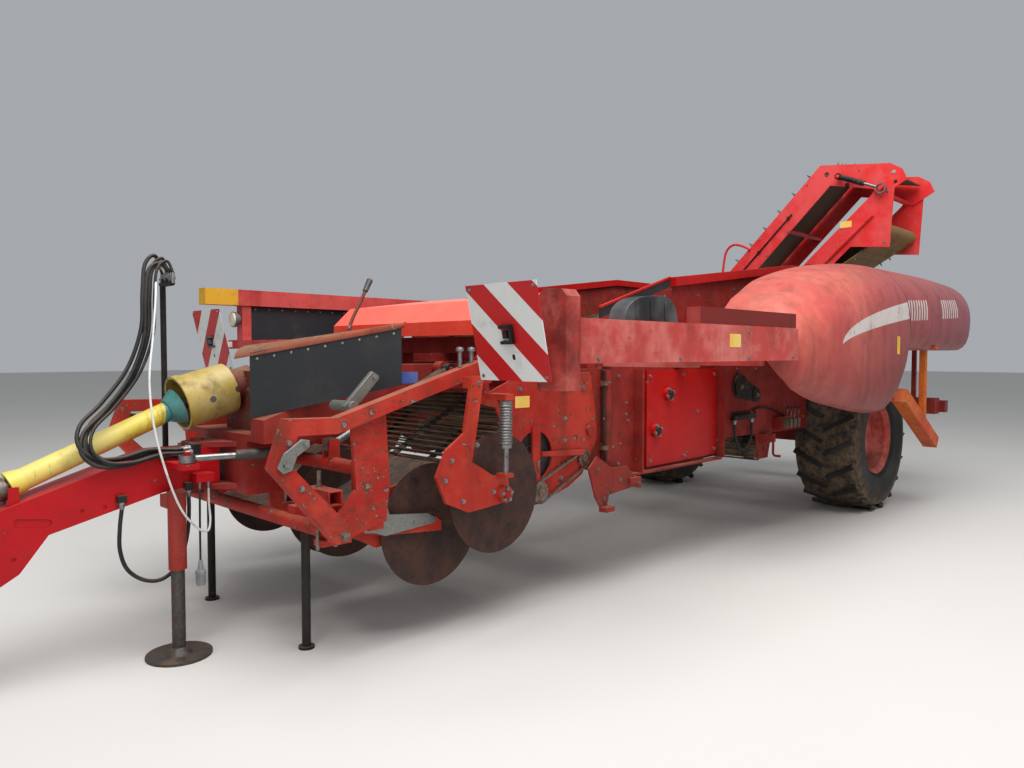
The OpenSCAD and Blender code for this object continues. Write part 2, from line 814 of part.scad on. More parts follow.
// From the parked plug on the holder over the drive shaft and back beside the drawbar
hose_route = [
    [-3000, 100, socket_z], [-3000, 100, 1776], [-3000, 100, 1790], [-3040, 92, 1836], [-3095, 70, 1790], [-3120, 40, 1650],
    [-3140, 10, 1480], [-3210, -10, 1300], [-3330, -40, 1150], [-3430, -80, 1060], [-3450, -115, 975],
    [-3390, -125, 915], [-3280, -122, 905], [-3160, -122, 930], [-3080, -118, 925], [-3045, -118, 925],
    hose_end
];
// From the holder's plate down in front of the jack and up to the block on the drawbar
white_route = [
    [-3000, 150, socket_z], [-3000, 150, 1776], [-3000, 150, 1790], [-3030, 130, 1820], [-3075, 60, 1780], [-3110, -20, 1650],
    [-3150, -90, 1480], [-3195, -160, 1280], [-3200, -215, 1080], [-3165, -245, 880], [-3105, -255, 700],
    [-3030, -245, 600], [-2965, -210, 565], [-2930, -165, 600], [-2925, -142, 680], [-2925, -140, 750],
    [-2925, -140, 775], [-2925, -140, cable_end_z]
];
// The lamp cable hangs from the same block, with its plug at the end
lamp_route = [
    [-2972, -150, cable_end_z], [-2972, -150, 740], [-2973, -150, 640], [-2974, -151, 540], [-2974, -151, 450],
    [-2974, -151, 420]
];

// The point at t between points i and i + 1 of a smooth line through all of them
function route_at(p, i, t) =
    let (n = len(p), a = p[max(i - 1, 0)], b = p[i], c = p[min(i + 1, n - 1)], d = p[min(i + 2, n - 1)])
    0.5 * (2 * b + (c - a) * t + (2 * a - 5 * b + 4 * c - d) * t * t + (3 * b - a - 3 * c + d) * t * t * t);

function route(p, steps) = concat(
    [for (i = [0 : len(p) - 2], j = [0 : steps - 1]) route_at(p, i, j / steps)],
    [p[len(p) - 1]]);

module swept(line, r, sides) {
    n = len(line);
    rings = [for (i = [0 : n - 1])
        let (ahead = line[min(i + 1, n - 1)] - line[max(i - 1, 0)], t = ahead / norm(ahead),
            s = cross(t, [0, 1, 0]) / norm(cross(t, [0, 1, 0])), u = cross(s, t))
        [for (k = [0 : sides - 1]) line[i] + r * cos(360 * k / sides) * s + r * sin(360 * k / sides) * u]];
    points = [for (q = rings) each q];
    faces = concat(
        [[for (k = [0 : sides - 1]) k]],
        [[for (k = [sides - 1 : -1 : 0]) (n - 1) * sides + k]],
        [for (i = [0 : n - 2], k = [0 : sides - 1])
            [i * sides + k, (i + 1) * sides + k, (i + 1) * sides + (k + 1) % sides]],
        [for (i = [0 : n - 2], k = [0 : sides - 1])
            [i * sides + k, (i + 1) * sides + (k + 1) % sides, i * sides + (k + 1) % sides]]);
    polyhedron(points, faces);
}

module black_hose() {
    color(black)
        swept(route(hose_route, 2), hose_r, 8);
}

module white_cable() {
    color("white")
        swept(route(white_route, 2), white_r, 8);
}

module lamp_cable() {
    color(black)
        swept(lamp_route, lamp_r, 8);
}

module lamp_plug() {
    end = lamp_route[len(lamp_route) - 1];
    color("grey")
        union() {
            bar_z(end[0], end[1], 22, [end[2] - 120, end[2] - 20]);
            bar_z(end[0], end[1], 12, [end[2] - 21, end[2]]);
            bar_z(end[0], end[1], 25, [end[2] - 70, end[2] - 50]);
        }
}

// The yellow tube stays still; the shaft inside it turns
pto_len = 900;
pto_end = 60;
pto_bore_r = 17.5;
pto_bore_l = 70;
bell_at = 95;
bell_r = 90;
cone_r = 62;

module at_pto() {
    translate(pto_joint)
        rotate([0, -90 - pto_slope, 0])
            children();
}

module drive_shaft_guard() {
    color(yellow)
        at_pto() {
            // bearing rings of the shaft
            for (z = [160, pto_len - 120])
                translate([0, 0, z])
                    difference() {
                        cylinder(r = 36, h = 14, $fn = 48);
                        translate([0, 0, -1])
                            cylinder(r = 28 + run_gap, h = 16, $fn = 48);
                    }
            difference() {
                union() {
                    translate([0, 0, 120])
                        cylinder(r = pto_tube_r, h = pto_len - 200, $fn = 48);
                    translate([0, 0, bell_at])
                        cylinder(r1 = bell_r, r2 = 56, h = 55, $fn = 48);
                    translate([0, 0, pto_len - 100])
                        cylinder(r1 = pto_tube_r, r2 = cone_r, h = 60, $fn = 48);
                }
                translate([0, 0, 60])
                    cylinder(r = 34, h = pto_len, $fn = 48);
                translate([0, 0, bell_at - 1])
                    cylinder(r1 = bell_r - 5, r2 = 40, h = 51, $fn = 48);
            }
        }
}

module drive_shaft() {
    color(steel)
        at_pto()
            difference() {
                union() {
                    translate([0, 0, -10])
                        cylinder(r = 28, h = pto_len + 10, $fn = 48);
                    translate([0, 0, pto_len - 30])
                        cylinder(r = 45, h = 30 + pto_end, $fn = 48);
                    translate([0, 0, -60])
                        cylinder(r = 45, h = 60, $fn = 48);
                }
                // splined bore for the tractor's shaft, as a plain bore
                translate([0, 0, pto_len + pto_end - pto_bore_l])
                    cylinder(r = pto_bore_r, h = pto_bore_l + 1, $fn = 48);
            }
}

// Steering cylinder, at the height of the drawbar's arm
steer_a = [-2620, -400];
steer_b = [-3090, -300];
steer_z = 927;
steer_eye_r = 28;

module steer_barrel() {
    d = steer_b - steer_a;
    color(steel)
        translate([steer_a[0], steer_a[1], steer_z])
            rotate([0, 0, atan2(d[1], d[0])])
                difference() {
                    union() {
                        rotate([0, 90, 0])
                            cylinder(r = 26, h = 270, $fn = 48);
                        translate([0, 0, -20])
                            cylinder(r = 28, h = 40, $fn = 48);
                    }
                    translate([0, 0, -30])
                        cylinder(r = 14 + run_gap, h = 60, $fn = 48);
                    translate([60, 0, 0])
                        rotate([0, 90, 0])
                            cylinder(r = 15 + run_gap, h = 300, $fn = 48);
                }
}

module steer_rod() {
    d = steer_b - steer_a;
    color(steel)
        translate([steer_a[0], steer_a[1], steer_z])
            rotate([0, 0, atan2(d[1], d[0])])
                difference() {
                    union() {
                        translate([190, 0, 0])
                            rotate([0, 90, 0])
                                cylinder(r = 15, h = norm(d) - 190, $fn = 48);
                        translate([norm(d), 0, -16])
                            cylinder(r = steer_eye_r + 8, h = 32, $fn = 48);
                    }
                    translate([norm(d), 0, -30])
                        cylinder(r = steer_eye_r, h = 60, $fn = 48);
                }
}

// Intake: side plates, long arms and cross tubes, which all swing on the hinge stubs

intake_gap = 4;
plate_y = [-wall_out - intake_gap - wall_t, -wall_out - intake_gap];
arm_y = [-960, -900];
haulm_at = [-1460, 840];
tube_low = [-2700, 620];
tube_high = [-2500, 870];
intake_plate = [
    [-1900, 1150], [-1900, 1385], [-1830, 1385], [-1800, 1200], [-1640, 1260], [-990, 1290], [-930, 1000],
    [-930, 890], [-1060, 700], [-1180, 640], [-1440, 575], [-1490, 575], [-1760, 1120]
];
arm_outline = [
    [-1840, 1310], [-1840, 1380], [-2726, 1128], [-2960, 1135], [-3030, 940], [-2735, 590], [-2665, 590],
    [-2665, 655], [-2950, 950], [-2915, 1065], [-2726, 1060]
];

inner_y = [-792, -776];
inner_plate = [
    [-2545, 905], [-2455, 905], [-2440, 740], [-1800, 890], [-1100, 1230], [-1040, 1160], [-1040, 980],
    [-1640, 620], [-1780, 600], [-2420, 490], [-2545, 560]
];

module intake_frame() {
    color(paint_red)
        union() {
            both_sides() {
                difference() {
                    union() {
                        plate_xz(intake_plate, plate_y);
                        plate_xz(arm_outline, arm_y);
                        block([-1895, -1835], [arm_y[0], plate_y[1]], [1250, 1375]);
                    }
                    bar_y(hinge_x, hinge_z, hinge_r + run_gap, [plate_y[0] - 60, plate_y[1] + 10]);
                    bar_y(haulm_at[0], haulm_at[1], 138, [plate_y[0] - 5, plate_y[1] + 5]);
                }
                // strap with the pin of the haulm wheel
                block([haulm_at[0] - 30, haulm_at[0] + 30], [plate_y[0] - 12, plate_y[0] + 1],
                    [haulm_at[1] - 160, haulm_at[1] + 160]);
                bar_y(haulm_at[0], haulm_at[1], 20, [plate_y[0] - 11, -812]);
                // lever and flat strut on the outer plate
                plate_xz([[-1745, 1170], [-1715, 1185], [-1650, 1040], [-1680, 1025]], [plate_y[0] - 10, plate_y[0] + 1]);
                plate_xz([[-1430, 862], [-1425, 838], [-1080, 815], [-1075, 845]], [plate_y[0] - 26, plate_y[0] - 11]);
                bar_y(-1100, 830, 12, [plate_y[0] - 26, plate_y[0] + 1]);
                // inner side plates of the intake web, with a spacer to the outer plates
                plate_xz(inner_plate, inner_y);
                bar_y(-1200, 1110, 25, [plate_y[1] - 1, inner_y[1] - 1]);
                // carrier plates of the front discs, from the arm to the lower tube
                plate_xz([[-2620, 1110], [-2440, 1150], [-2420, 800], [-2440, 640], [-2640, 590], [-2735, 590],
                    [-2735, 655], [-2600, 800]], [arm_y[1] - 1, -880]);
            }
            bar_y(tube_low[0], tube_low[1], tube_r, [-900, 900]);
            bar_y(tube_high[0], tube_high[1], tube_r, [-900, 900]);
            // sleeves of the parking legs
            for (s = [-1, 1])
                difference() {
                    block([tube_low[0], leg_at[0] + leg_r + 12], [s * leg_at[1] - leg_r - 12, s * leg_at[1] + leg_r + 12],
                        [tube_low[1] - 30, tube_low[1] + 70]);
                    bar_z(leg_at[0], s * leg_at[1], leg_r + run_gap, [tube_low[1] - 40, tube_low[1] + 80]);
                }
            // lugs of the lift cylinders
            both_sides() {
                for (y = [-lift_y - 34, -lift_y + 22])
                    plate_xz([[-2530, 860], [-2470, 860], [-2475, 990], [-2525, 990]], [y, y + 12]);
                bar_y(lift_b[0], lift_b[1], 14, [-lift_y - 34, -lift_y + 34]);
            }
        }
}

intake_a = [-1700, 730];
intake_b = [-1100, 1050];
intake_r = 70;
intake_half = 750;

module intake_web() {
    color(rust) {
        web(intake_a, intake_b, intake_r, [0, 40], intake_half, [-690, 0, 690]);
        web_rollers(intake_a, intake_b, intake_r, intake_half);
        for (p = [intake_a, intake_b])
            bar_y(p[0], p[1], 22, [inner_y[1] + part_gap, -inner_y[1] - part_gap]);
    }
}

// Two share blades in front of the web
share_y = [-770, -84];

module shares() {
    color(rust)
        union() {
            both_sides() {
                plate_xz([[-2480, 528], [-2330, 580], [-1810, 790], [-1810, 800], [-2335, 590], [-2480, 534]],
                    share_y);
                for (p = [[-2300, 580], [-1860, 758]])
                    bar_y(p[0], p[1], 14, [inner_y[1] + part_gap, share_y[1]]);
            }
        }
}

// Discs: the front ones outside the web and a pair between the rows, the rear ones on sprung arms

disc_front = [-2110, 560];
disc_rear = [-1832, 700];
disc_front_y = 815;
disc_rear_y = 985;

module disc(at, y, lean) {
    translate([at[0], y, at[1]])
        rotate([0, 0, lean])
            rotate([90, 0, 0]) {
                difference() {
                    union() {
                        translate([0, 0, -disc_t / 2])
                            cylinder(r = disc_r, h = disc_t, $fn = 96);
                        translate([0, 0, -16])
                            cylinder(r = 60, h = 32, $fn = 48);
                    }
                    translate([0, 0, -30])
                        cylinder(r = 20 + run_gap, h = 60, $fn = 48);
                }
            }
}

module disc_front_left() {
    color(rust)
        disc(disc_front, -disc_front_y, 0);
}

module disc_front_right() {
    color(rust)
        disc(disc_front, disc_front_y, 0);
}

module disc_front_middle() {
    color(rust)
        union() {
            disc(disc_front, -60, 0);
            disc(disc_front, 60, 0);
        }
}

module disc_rear_left() {
    color(rust)
        disc(disc_rear, -disc_rear_y, 0);
}

module disc_rear_right() {
    color(rust)
        disc(disc_rear, disc_rear_y, 0);
}

carrier_y = [-1040, -1022];

module disc_carriers() {
    color(bright_red)
        union() {
            both_sides() {
                // big plate outside the rear disc, its arm and its hub pin
                plate_xz([[-2040, 1290], [-1960, 1290], [-2010, 1030], [-2040, 880], [-1900, 800], [-1800, 790],
                    [-1780, 660], [-2060, 640], [-2200, 700], [-2260, 830], [-2200, 950], [-2090, 1020]], carrier_y);
                bar_y(disc_rear[0], disc_rear[1], 20, [carrier_y[0], -disc_rear_y + 30]);
                bar_y(disc_rear[0], disc_rear[1], 42, [carrier_y[0] - 25, carrier_y[0] + 1]);
                block([-2030, -1970], [carrier_y[0] + 1, arm_y[0] - part_gap], [1230, 1285]);
                // seats of the spring
                block([-1880, -1824], [spring_y - 28, carrier_y[0] + 1], [790, 810 - part_gap]);
                block([-1880, -1824], [spring_y - 28, arm_y[0] - part_gap], [1170 + part_gap, 1200]);
                // flat bar to the front disc's hub
                plate_xz([[-2440, 720], [-2400, 640], [-2110, 600], [-2080, 575], [-2080, 530], [-2420, 560],
                    [-2530, 590], [-2520, 640]], [-858, -846]);
                bar_y(disc_front[0], disc_front[1], 20, [-850, -disc_front_y + 20]);
                block([-2520, -2440], [-880 + part_gap, -857], [600, 660]);
            }
            // arm of the middle pair
            block([-2520, -2110], [-12, 12], [540, 600]);
            block([-2540, -2460], [-12, 12], [540, tube_high[1] - tube_r - part_gap]);
            bar_y(disc_front[0], disc_front[1], 20, [-90, 90]);
        }
}

// Coil springs that press the rear discs down, drawn as closed coils
spring_coils = 14;
spring_y = -1078;

module disc_springs() {
    color(steel)
        both_sides() {
            for (i = [0 : spring_coils - 1])
                translate([-1852, spring_y, 960 + i * 14])
                    rotate_extrude($fn = 32)
                        translate([26, 0])
                            circle(r = 6.85, $fn = 16);
            bar_z(-1852, spring_y, 14, [810, 1170]);
            bar_z(-1852, spring_y, 30, [935, 952.8]);
            bar_z(-1852, spring_y, 30, [1149.2, 1165]);
        }
}

// Haulm wheels: rubber wheels with lugs, beside the web's rear end
module haulm_wheel(side) {
    on_side(side)
        color(black)
            translate([haulm_at[0], -820, haulm_at[1]])
                rotate([90, 0, 0])
                    difference() {
                        union() {
                            cylinder(r = haulm_r - 22, h = 60, $fn = 72);
                            for (i = [0 : haulm_lugs - 1])
                                rotate([0, 0, i * 360 / haulm_lugs])
                                    translate([haulm_r - 30, -14, 0])
                                        cube([30, 28, 60]);
                            translate([0, 0, -5])
                                cylinder(r = 60, h = 70, $fn = 48);
                        }
                        translate([0, 0, -10])
                            cylinder(r = 20 + run_gap, h = 90, $fn = 48);
                    }
}

module haulm_wheel_left() {
    haulm_wheel(-1);
}

module haulm_wheel_right() {
    haulm_wheel(1);
}

// Cylinders that lift the intake
lift_a = [-1760, 1310];
lift_b = [-2500, 960];
lift_y = 540;
lift_eye_r = 26;

module at_lift() {
    d = lift_b - lift_a;
    both_sides()
        translate([lift_a[0], -lift_y, lift_a[1]])
            rotate([0, -atan2(d[1], d[0]), 0])
                rotate([0, 90, 0])
                    children();
}

module lift_barrels() {
    color(steel)
        at_lift()
            difference() {
                union() {
                    translate([0, 0, 1])
                        cylinder(r = 22, h = 60, $fn = 48);
                    translate([0, 0, 55])
                        cylinder(r = 32, h = 470, $fn = 48);
                    rotate([90, 0, 0])
                        translate([0, 0, -24])
                            cylinder(r = 32, h = 48, $fn = 48);
                }
                rotate([90, 0, 0])
                    translate([0, 0, -40])
                        cylinder(r = 16 + run_gap, h = 80, $fn = 48);
                translate([0, 0, 75])
                    cylinder(r = 18 + run_gap, h = 500, $fn = 48);
            }
}

module lift_rods() {
    color(steel)
        at_lift()
            difference() {
                union() {
                    translate([0, 0, 330])
                        cylinder(r = 18, h = norm(lift_b - lift_a) - 330, $fn = 48);
                    translate([0, 0, norm(lift_b - lift_a)])
                        rotate([90, 0, 0])
                            translate([0, 0, -16])
                                cylinder(r = lift_eye_r + 10, h = 32, $fn = 48);
                }
                translate([0, 0, norm(lift_b - lift_a)])
                    rotate([90, 0, 0])
                        translate([0, 0, -20])
                            cylinder(r = lift_eye_r, h = 40, $fn = 48);
            }
}

// Parking legs in sleeves on the lower tube
leg_at = [-2628, 515];

module leg(side) {
    on_side(side)
        color(black)
            union() {
                bar_z(leg_at[0], -leg_at[1], leg_r, [8, 700]);
                bar_z(leg_at[0], -leg_at[1], 38, [0, 12]);
            }
}

module leg_left() {
    leg(-1);
}

module leg_right() {
    leg(1);
}

// Elevator: boom from the right side up over the machine, and the end section folded under it

knee = [-495, 3251];
boom_angle = 45;
tip_hinge = [-1045, 2915];

boom_u = [-cos(boom_angle), sin(boom_angle)];
boom_n = [-sin(boom_angle), -cos(boom_angle)];
foot = knee - boom_u * 2560;

boom_outline = [
    foot, foot + boom_n * arm_depth, knee + boom_n * arm_depth + [62, -50], [-994, 2950], [-1100, 2880],
    [-1302, 2994], [-1258, 3096], [-1153, 3163], knee
];

// Round holes in the front plate. Columns: y, z, radius
boom_holes = [[-560, 3150, 24], [-760, 3020, 24], [-1180, 3080, 20], [-1200, 2985, 18]];

module boom_frame() {
    color(bright_red)
        difference() {
            union() {
                plate_yz(boom_outline, [elev_x0, elev_x0 + elev_t]);
                plate_yz(boom_outline, [elev_x1 - elev_t, elev_x1]);
                for (s = [300, 1100, 1900]) {
                    p = foot + boom_u * s + boom_n * (arm_depth - 30);
                    bar_x(p[0], p[1], 20, [elev_x0 + 1, elev_x1 - 1]);
                }
                bar_x(tip_hinge[0], tip_hinge[1], 24, [tip_x[0] - 4, tip_x[1] + 4]);
                // pin of the fold cylinder
                bar_x(tip_cyl_a[0], tip_cyl_a[1], 16, [tip_cyl_x - 30, elev_x0 + 1]);
                for (x = [elev_x0 - 80, elev_x1 + 40])
                    bar_x(boom_lift_b[0], boom_lift_b[1], 18, [x, x + 40]);
                bar_x(boom_lift_b[0], boom_lift_b[1], 18, [elev_x0 - 41, elev_x0 + 1]);
                bar_x(boom_lift_b[0], boom_lift_b[1], 18, [elev_x1 - 1, elev_x1 + 41]);
            }
            for (h = boom_holes)
                bar_x(h[0], h[1], h[2], [elev_x0 - 5, elev_x0 + elev_t + 5]);
            bar_x(boom_pivot[0], boom_pivot[1], 30 + run_gap, [elev_x0 - 20, elev_x0 + elev_t + 20]);
            bar_x(boom_pivot[0], boom_pivot[1], 30 + run_gap, [elev_x1 - elev_t - 20, elev_x1 + 20]);
        }
}

module boom_belt() {
    p0 = foot + boom_u * 120 + boom_n * 60;
    p1 = knee + boom_n * 60;
    color(black)
        union() {
            plate_yz([p0, p0 + boom_n * 10, p1 + boom_n * 10, p1], [elev_x0 + 40, elev_x1 - 40]);
            plate_yz([p1, p1 + [4, -12], [-1180, 3060], [-1180, 3072]], [elev_x0 + 40, elev_x1 - 40]);
            // drums at both ends, held between the side plates
            for (q = [p0 + boom_n * 50, p1 + boom_n * 50])
                bar_x(q[0], q[1], 45, [elev_x0 + elev_t + part_gap, elev_x1 - elev_t - part_gap]);
            for (s = [200 : 220 : 2400]) {
                q = foot + boom_u * s + boom_n * 62;
                translate([elev_x0 + 60, q[0], q[1]])
                    rotate([-boom_angle, 0, 0])
                        translate([0, -4, 0])
                            cube([elev_x1 - elev_x0 - 120, 8, tine_l]);
            }
        }
}

boom_lift_a = [100, 1050];
boom_lift_b = [620, 1860];
boom_eye_r = 28;

module at_boom_lift() {
    d = boom_lift_b - boom_lift_a;
    for (x = [elev_x0 - 60, elev_x1 + 60])
        translate([x, boom_lift_a[0], boom_lift_a[1]])
            rotate([atan2(d[1], d[0]) - 90, 0, 0])
                children();
}

module boom_barrels() {
    color(steel)
        at_boom_lift()
            difference() {
                union() {
                    cylinder(r = 25, h = 80, $fn = 48);
                    translate([0, 0, 75])
                        cylinder(r = 36, h = 525, $fn = 48);
                    rotate([0, 90, 0])
                        translate([0, 0, -26])
                            cylinder(r = 34, h = 52, $fn = 48);
                }
                rotate([0, 90, 0])
                    translate([0, 0, -40])
                        cylinder(r = 16 + run_gap, h = 80, $fn = 48);
                translate([0, 0, 60])
                    cylinder(r = 22 + run_gap, h = 600, $fn = 48);
            }
}

module boom_rods() {
    color(steel)
        at_boom_lift()
            difference() {
                union() {
                    translate([0, 0, 400])
                        cylinder(r = 22, h = norm(boom_lift_b - boom_lift_a) - 400, $fn = 48);
                    translate([-18, 0, norm(boom_lift_b - boom_lift_a)])
                        rotate([0, 90, 0])
                            cylinder(r = boom_eye_r + 14, h = 36, $fn = 48);
                }
                translate([-30, 0, norm(boom_lift_b - boom_lift_a)])
                    rotate([0, 90, 0])
                        cylinder(r = boom_eye_r, h = 60, $fn = 48);
            }
}

tip_gap = 6;
tip_x = [elev_x0 - elev_t - tip_gap, elev_x1 + elev_t + tip_gap];
tip_outline = [
    [-1150, 2985], [-1060, 3000], [-993, 2890], [-150, 2100], [-298, 1942], [-807, 2421], [-1164, 2386],
    [-1197, 2944]
];

// Diagonal tube welded along the front plate of the end section
module tip_tube() {
    a = [tip_x[0] - 14, -330, 2070];
    b = [tip_x[0] - 14, -1010, 2700];
    strut(a, b, 16);
}

module tip_frame() {
    color(bright_red)
        difference() {
            union() {
                plate_yz(tip_outline, [tip_x[0], tip_x[0] + elev_t]);
                plate_yz(tip_outline, [tip_x[1] - elev_t, tip_x[1]]);
                bar_x(-560, 2290, 18, [tip_x[0] + 1, tip_x[1] - 1]);
                bar_x(-930, 2640, 18, [tip_x[0] + 1, tip_x[1] - 1]);
                // diagonal tube on the front plate
                tip_tube();
                bar_x(tip_cyl_b[0], tip_cyl_b[1], 12, [tip_cyl_x - 20, tip_x[0] + 1]);
            }
            bar_x(tip_hinge[0], tip_hinge[1], 24 + run_gap, [tip_x[0] - 10, tip_x[1] + 10]);
        }
}

tip_a = [-1075, 2560];
tip_roller_r = 60;
tip_b = [-320, 2105];

// A flat belt round two rollers, drawn in Y and Z
module belt_yz(a, b, r, x) {
    translate([x[0], 0, 0])
        rotate([90, 0, 90])
            linear_extrude(x[1] - x[0])
                difference() {
                    polygon(loop_outline(a, b, r + belt_t, [0, 0], 1, 18));
                    polygon(loop_outline(a, b, r, [0, 0], 1, 18));
                }
}

module tip_belt() {
    color(rust)
        union() {
            belt_yz(tip_a, tip_b, tip_roller_r, [tip_x[0] + 50, tip_x[1] - 50]);
            for (p = [tip_a, tip_b])
                bar_x(p[0], p[1], tip_roller_r - part_gap, [tip_x[0] + elev_t + part_gap, tip_x[1] - elev_t - part_gap]);
        }
}

tip_cyl_a = [-700, 3100];
tip_cyl_b = [-1095, 2930];
tip_cyl_x = elev_x0 - 60;
tip_eye_r = 38;

module at_tip_cyl() {
    d = tip_cyl_b - tip_cyl_a;
    translate([tip_cyl_x, tip_cyl_a[0], tip_cyl_a[1]])
        rotate([atan2(d[1], d[0]) - 90, 0, 0])
            children();
}

module tip_barrel() {
    color(steel)
        at_tip_cyl()
            difference() {
                union() {
                    cylinder(r = 25, h = 260, $fn = 48);
                    rotate([0, 90, 0])
                        translate([0, 0, -22])
                            cylinder(r = 30, h = 44, $fn = 48);
                }
                rotate([0, 90, 0])
                    translate([0, 0, -30])
                        cylinder(r = 16 + run_gap, h = 60, $fn = 48);
                translate([0, 0, 50])
                    cylinder(r = 14 + run_gap, h = 300, $fn = 48);
            }
}

module tip_rod() {
    color(steel)
        at_tip_cyl()
            difference() {
                union() {
                    translate([0, 0, 150])
                        cylinder(r = 14, h = norm(tip_cyl_b - tip_cyl_a) - 150, $fn = 48);
                    translate([-16, 0, norm(tip_cyl_b - tip_cyl_a)])
                        rotate([0, 90, 0])
                            cylinder(r = tip_eye_r + 10, h = 32, $fn = 48);
                }
                translate([-20, 0, norm(tip_cyl_b - tip_cyl_a)])
                    rotate([0, 90, 0])
                        cylinder(r = tip_eye_r, h = 40, $fn = 48);
            }
}

side_walls();
front_frame();
rear_frame();
axle();
gearbox();
drum_guard();
left_beam();
right_rail();
intake_cover();
rubber_guards();
warning_boards();
bearing_plates();
sieve_webs();
haulm_web();
roller_table();
haulm_rails();
covers();
rear_guard();
lamps();
drawbar();
hitch_ring();
hose_holder();
jack_sleeve();
jack_leg();
drive_shaft_guard();
drive_shaft();
steer_barrel();
steer_rod();
black_hose();
white_cable();
lamp_cable();
lamp_plug();
intake_frame();
disc_carriers();
disc_springs();
shares();
intake_web();
disc_front_left();
disc_front_middle();
disc_front_right();
disc_rear_left();
disc_rear_right();
haulm_wheel_left();
haulm_wheel_right();
lift_barrels();
lift_rods();
leg_left();
leg_right();
boom_frame();
boom_belt();
boom_barrels();
boom_rods();
tip_frame();
tip_belt();
tip_barrel();
tip_rod();
tyre_left();
tyre_right();
rim_left();
rim_right();
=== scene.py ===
"""Looks of a trailed two-row potato harvester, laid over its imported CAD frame."""

import math
from functools import reduce

import bmesh
import bpy
from mathutils import Matrix, Vector


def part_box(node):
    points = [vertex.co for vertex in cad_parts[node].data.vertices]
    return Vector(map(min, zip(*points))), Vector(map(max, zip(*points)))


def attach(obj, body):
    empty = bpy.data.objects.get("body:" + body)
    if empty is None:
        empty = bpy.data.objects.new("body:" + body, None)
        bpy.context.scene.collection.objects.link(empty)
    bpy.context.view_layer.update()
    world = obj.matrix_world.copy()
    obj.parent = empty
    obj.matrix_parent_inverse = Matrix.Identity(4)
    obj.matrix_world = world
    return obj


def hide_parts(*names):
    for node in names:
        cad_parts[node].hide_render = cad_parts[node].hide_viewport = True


bl_info = {
    "name": "Potato Harvester Looks",
    "version": (1, 0, 0),
    "blender": (4, 5, 0),
    "location": "3D View > Sidebar > Harvester",
    "description": "Materials, small pieces and the stage of a trailed potato harvester",
    "category": "Object",
}

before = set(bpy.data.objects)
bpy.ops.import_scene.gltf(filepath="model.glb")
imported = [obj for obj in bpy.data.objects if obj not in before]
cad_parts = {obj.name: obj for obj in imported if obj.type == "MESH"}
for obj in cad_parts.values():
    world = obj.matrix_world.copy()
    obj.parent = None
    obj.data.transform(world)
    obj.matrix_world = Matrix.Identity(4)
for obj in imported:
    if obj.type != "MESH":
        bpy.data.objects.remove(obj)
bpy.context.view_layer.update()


# Node trees

def srgb(red, green, blue):
    """A colour as the screen shows it, turned into the linear values that shaders use."""
    def linear(c):
        return c / 12.92 if c <= 0.04045 else ((c + 0.055) / 1.055) ** 2.4
    return (linear(red), linear(green), linear(blue), 1.0)


class Value:
    """A number that varies over a surface, so that shader maths reads as an expression."""

    def __init__(self, finish, socket):
        self.finish = finish
        self.socket = socket

    def _math(self, operation, first, second):
        return self.finish.add("ShaderNodeMath", {"operation": operation}, {0: first, 1: second})

    def __add__(self, other):
        return self._math("ADD", self, other)

    def __radd__(self, other):
        return self._math("ADD", other, self)

    def __sub__(self, other):
        return self._math("SUBTRACT", self, other)

    def __rsub__(self, other):
        return self._math("SUBTRACT", other, self)

    def __mul__(self, other):
        return self._math("MULTIPLY", self, other)

    def __rmul__(self, other):
        return self._math("MULTIPLY", other, self)

    def __truediv__(self, other):
        return self._math("DIVIDE", self, other)

    def __abs__(self):
        return self._math("ABSOLUTE", self, 0.0)

    def most(self, other):
        return self._math("MAXIMUM", self, other)

    def least(self, other):
        return self._math("MINIMUM", self, other)

    def power(self, other):
        return self._math("POWER", self, other)

    def wrapped(self, period):
        return self._math("FLOORED_MODULO", self, period)

    def between(self, low, high):
        """0 below low and 1 above high, with a smooth step between them."""
        settings = {"interpolation_type": "SMOOTHSTEP", "clamp": True}
        return self.finish.add("ShaderNodeMapRange", settings, {0: self, 1: low, 2: high})

    def inside(self, low, high, soft):
        """1 from low to high and 0 outside, with soft edges."""
        return self.between(low - soft, low + soft) * (1 - self.between(high - soft, high + soft))


# Sockets whose names aren't plain capitals
SOCKETS = {"specular": "Specular IOR Level"}


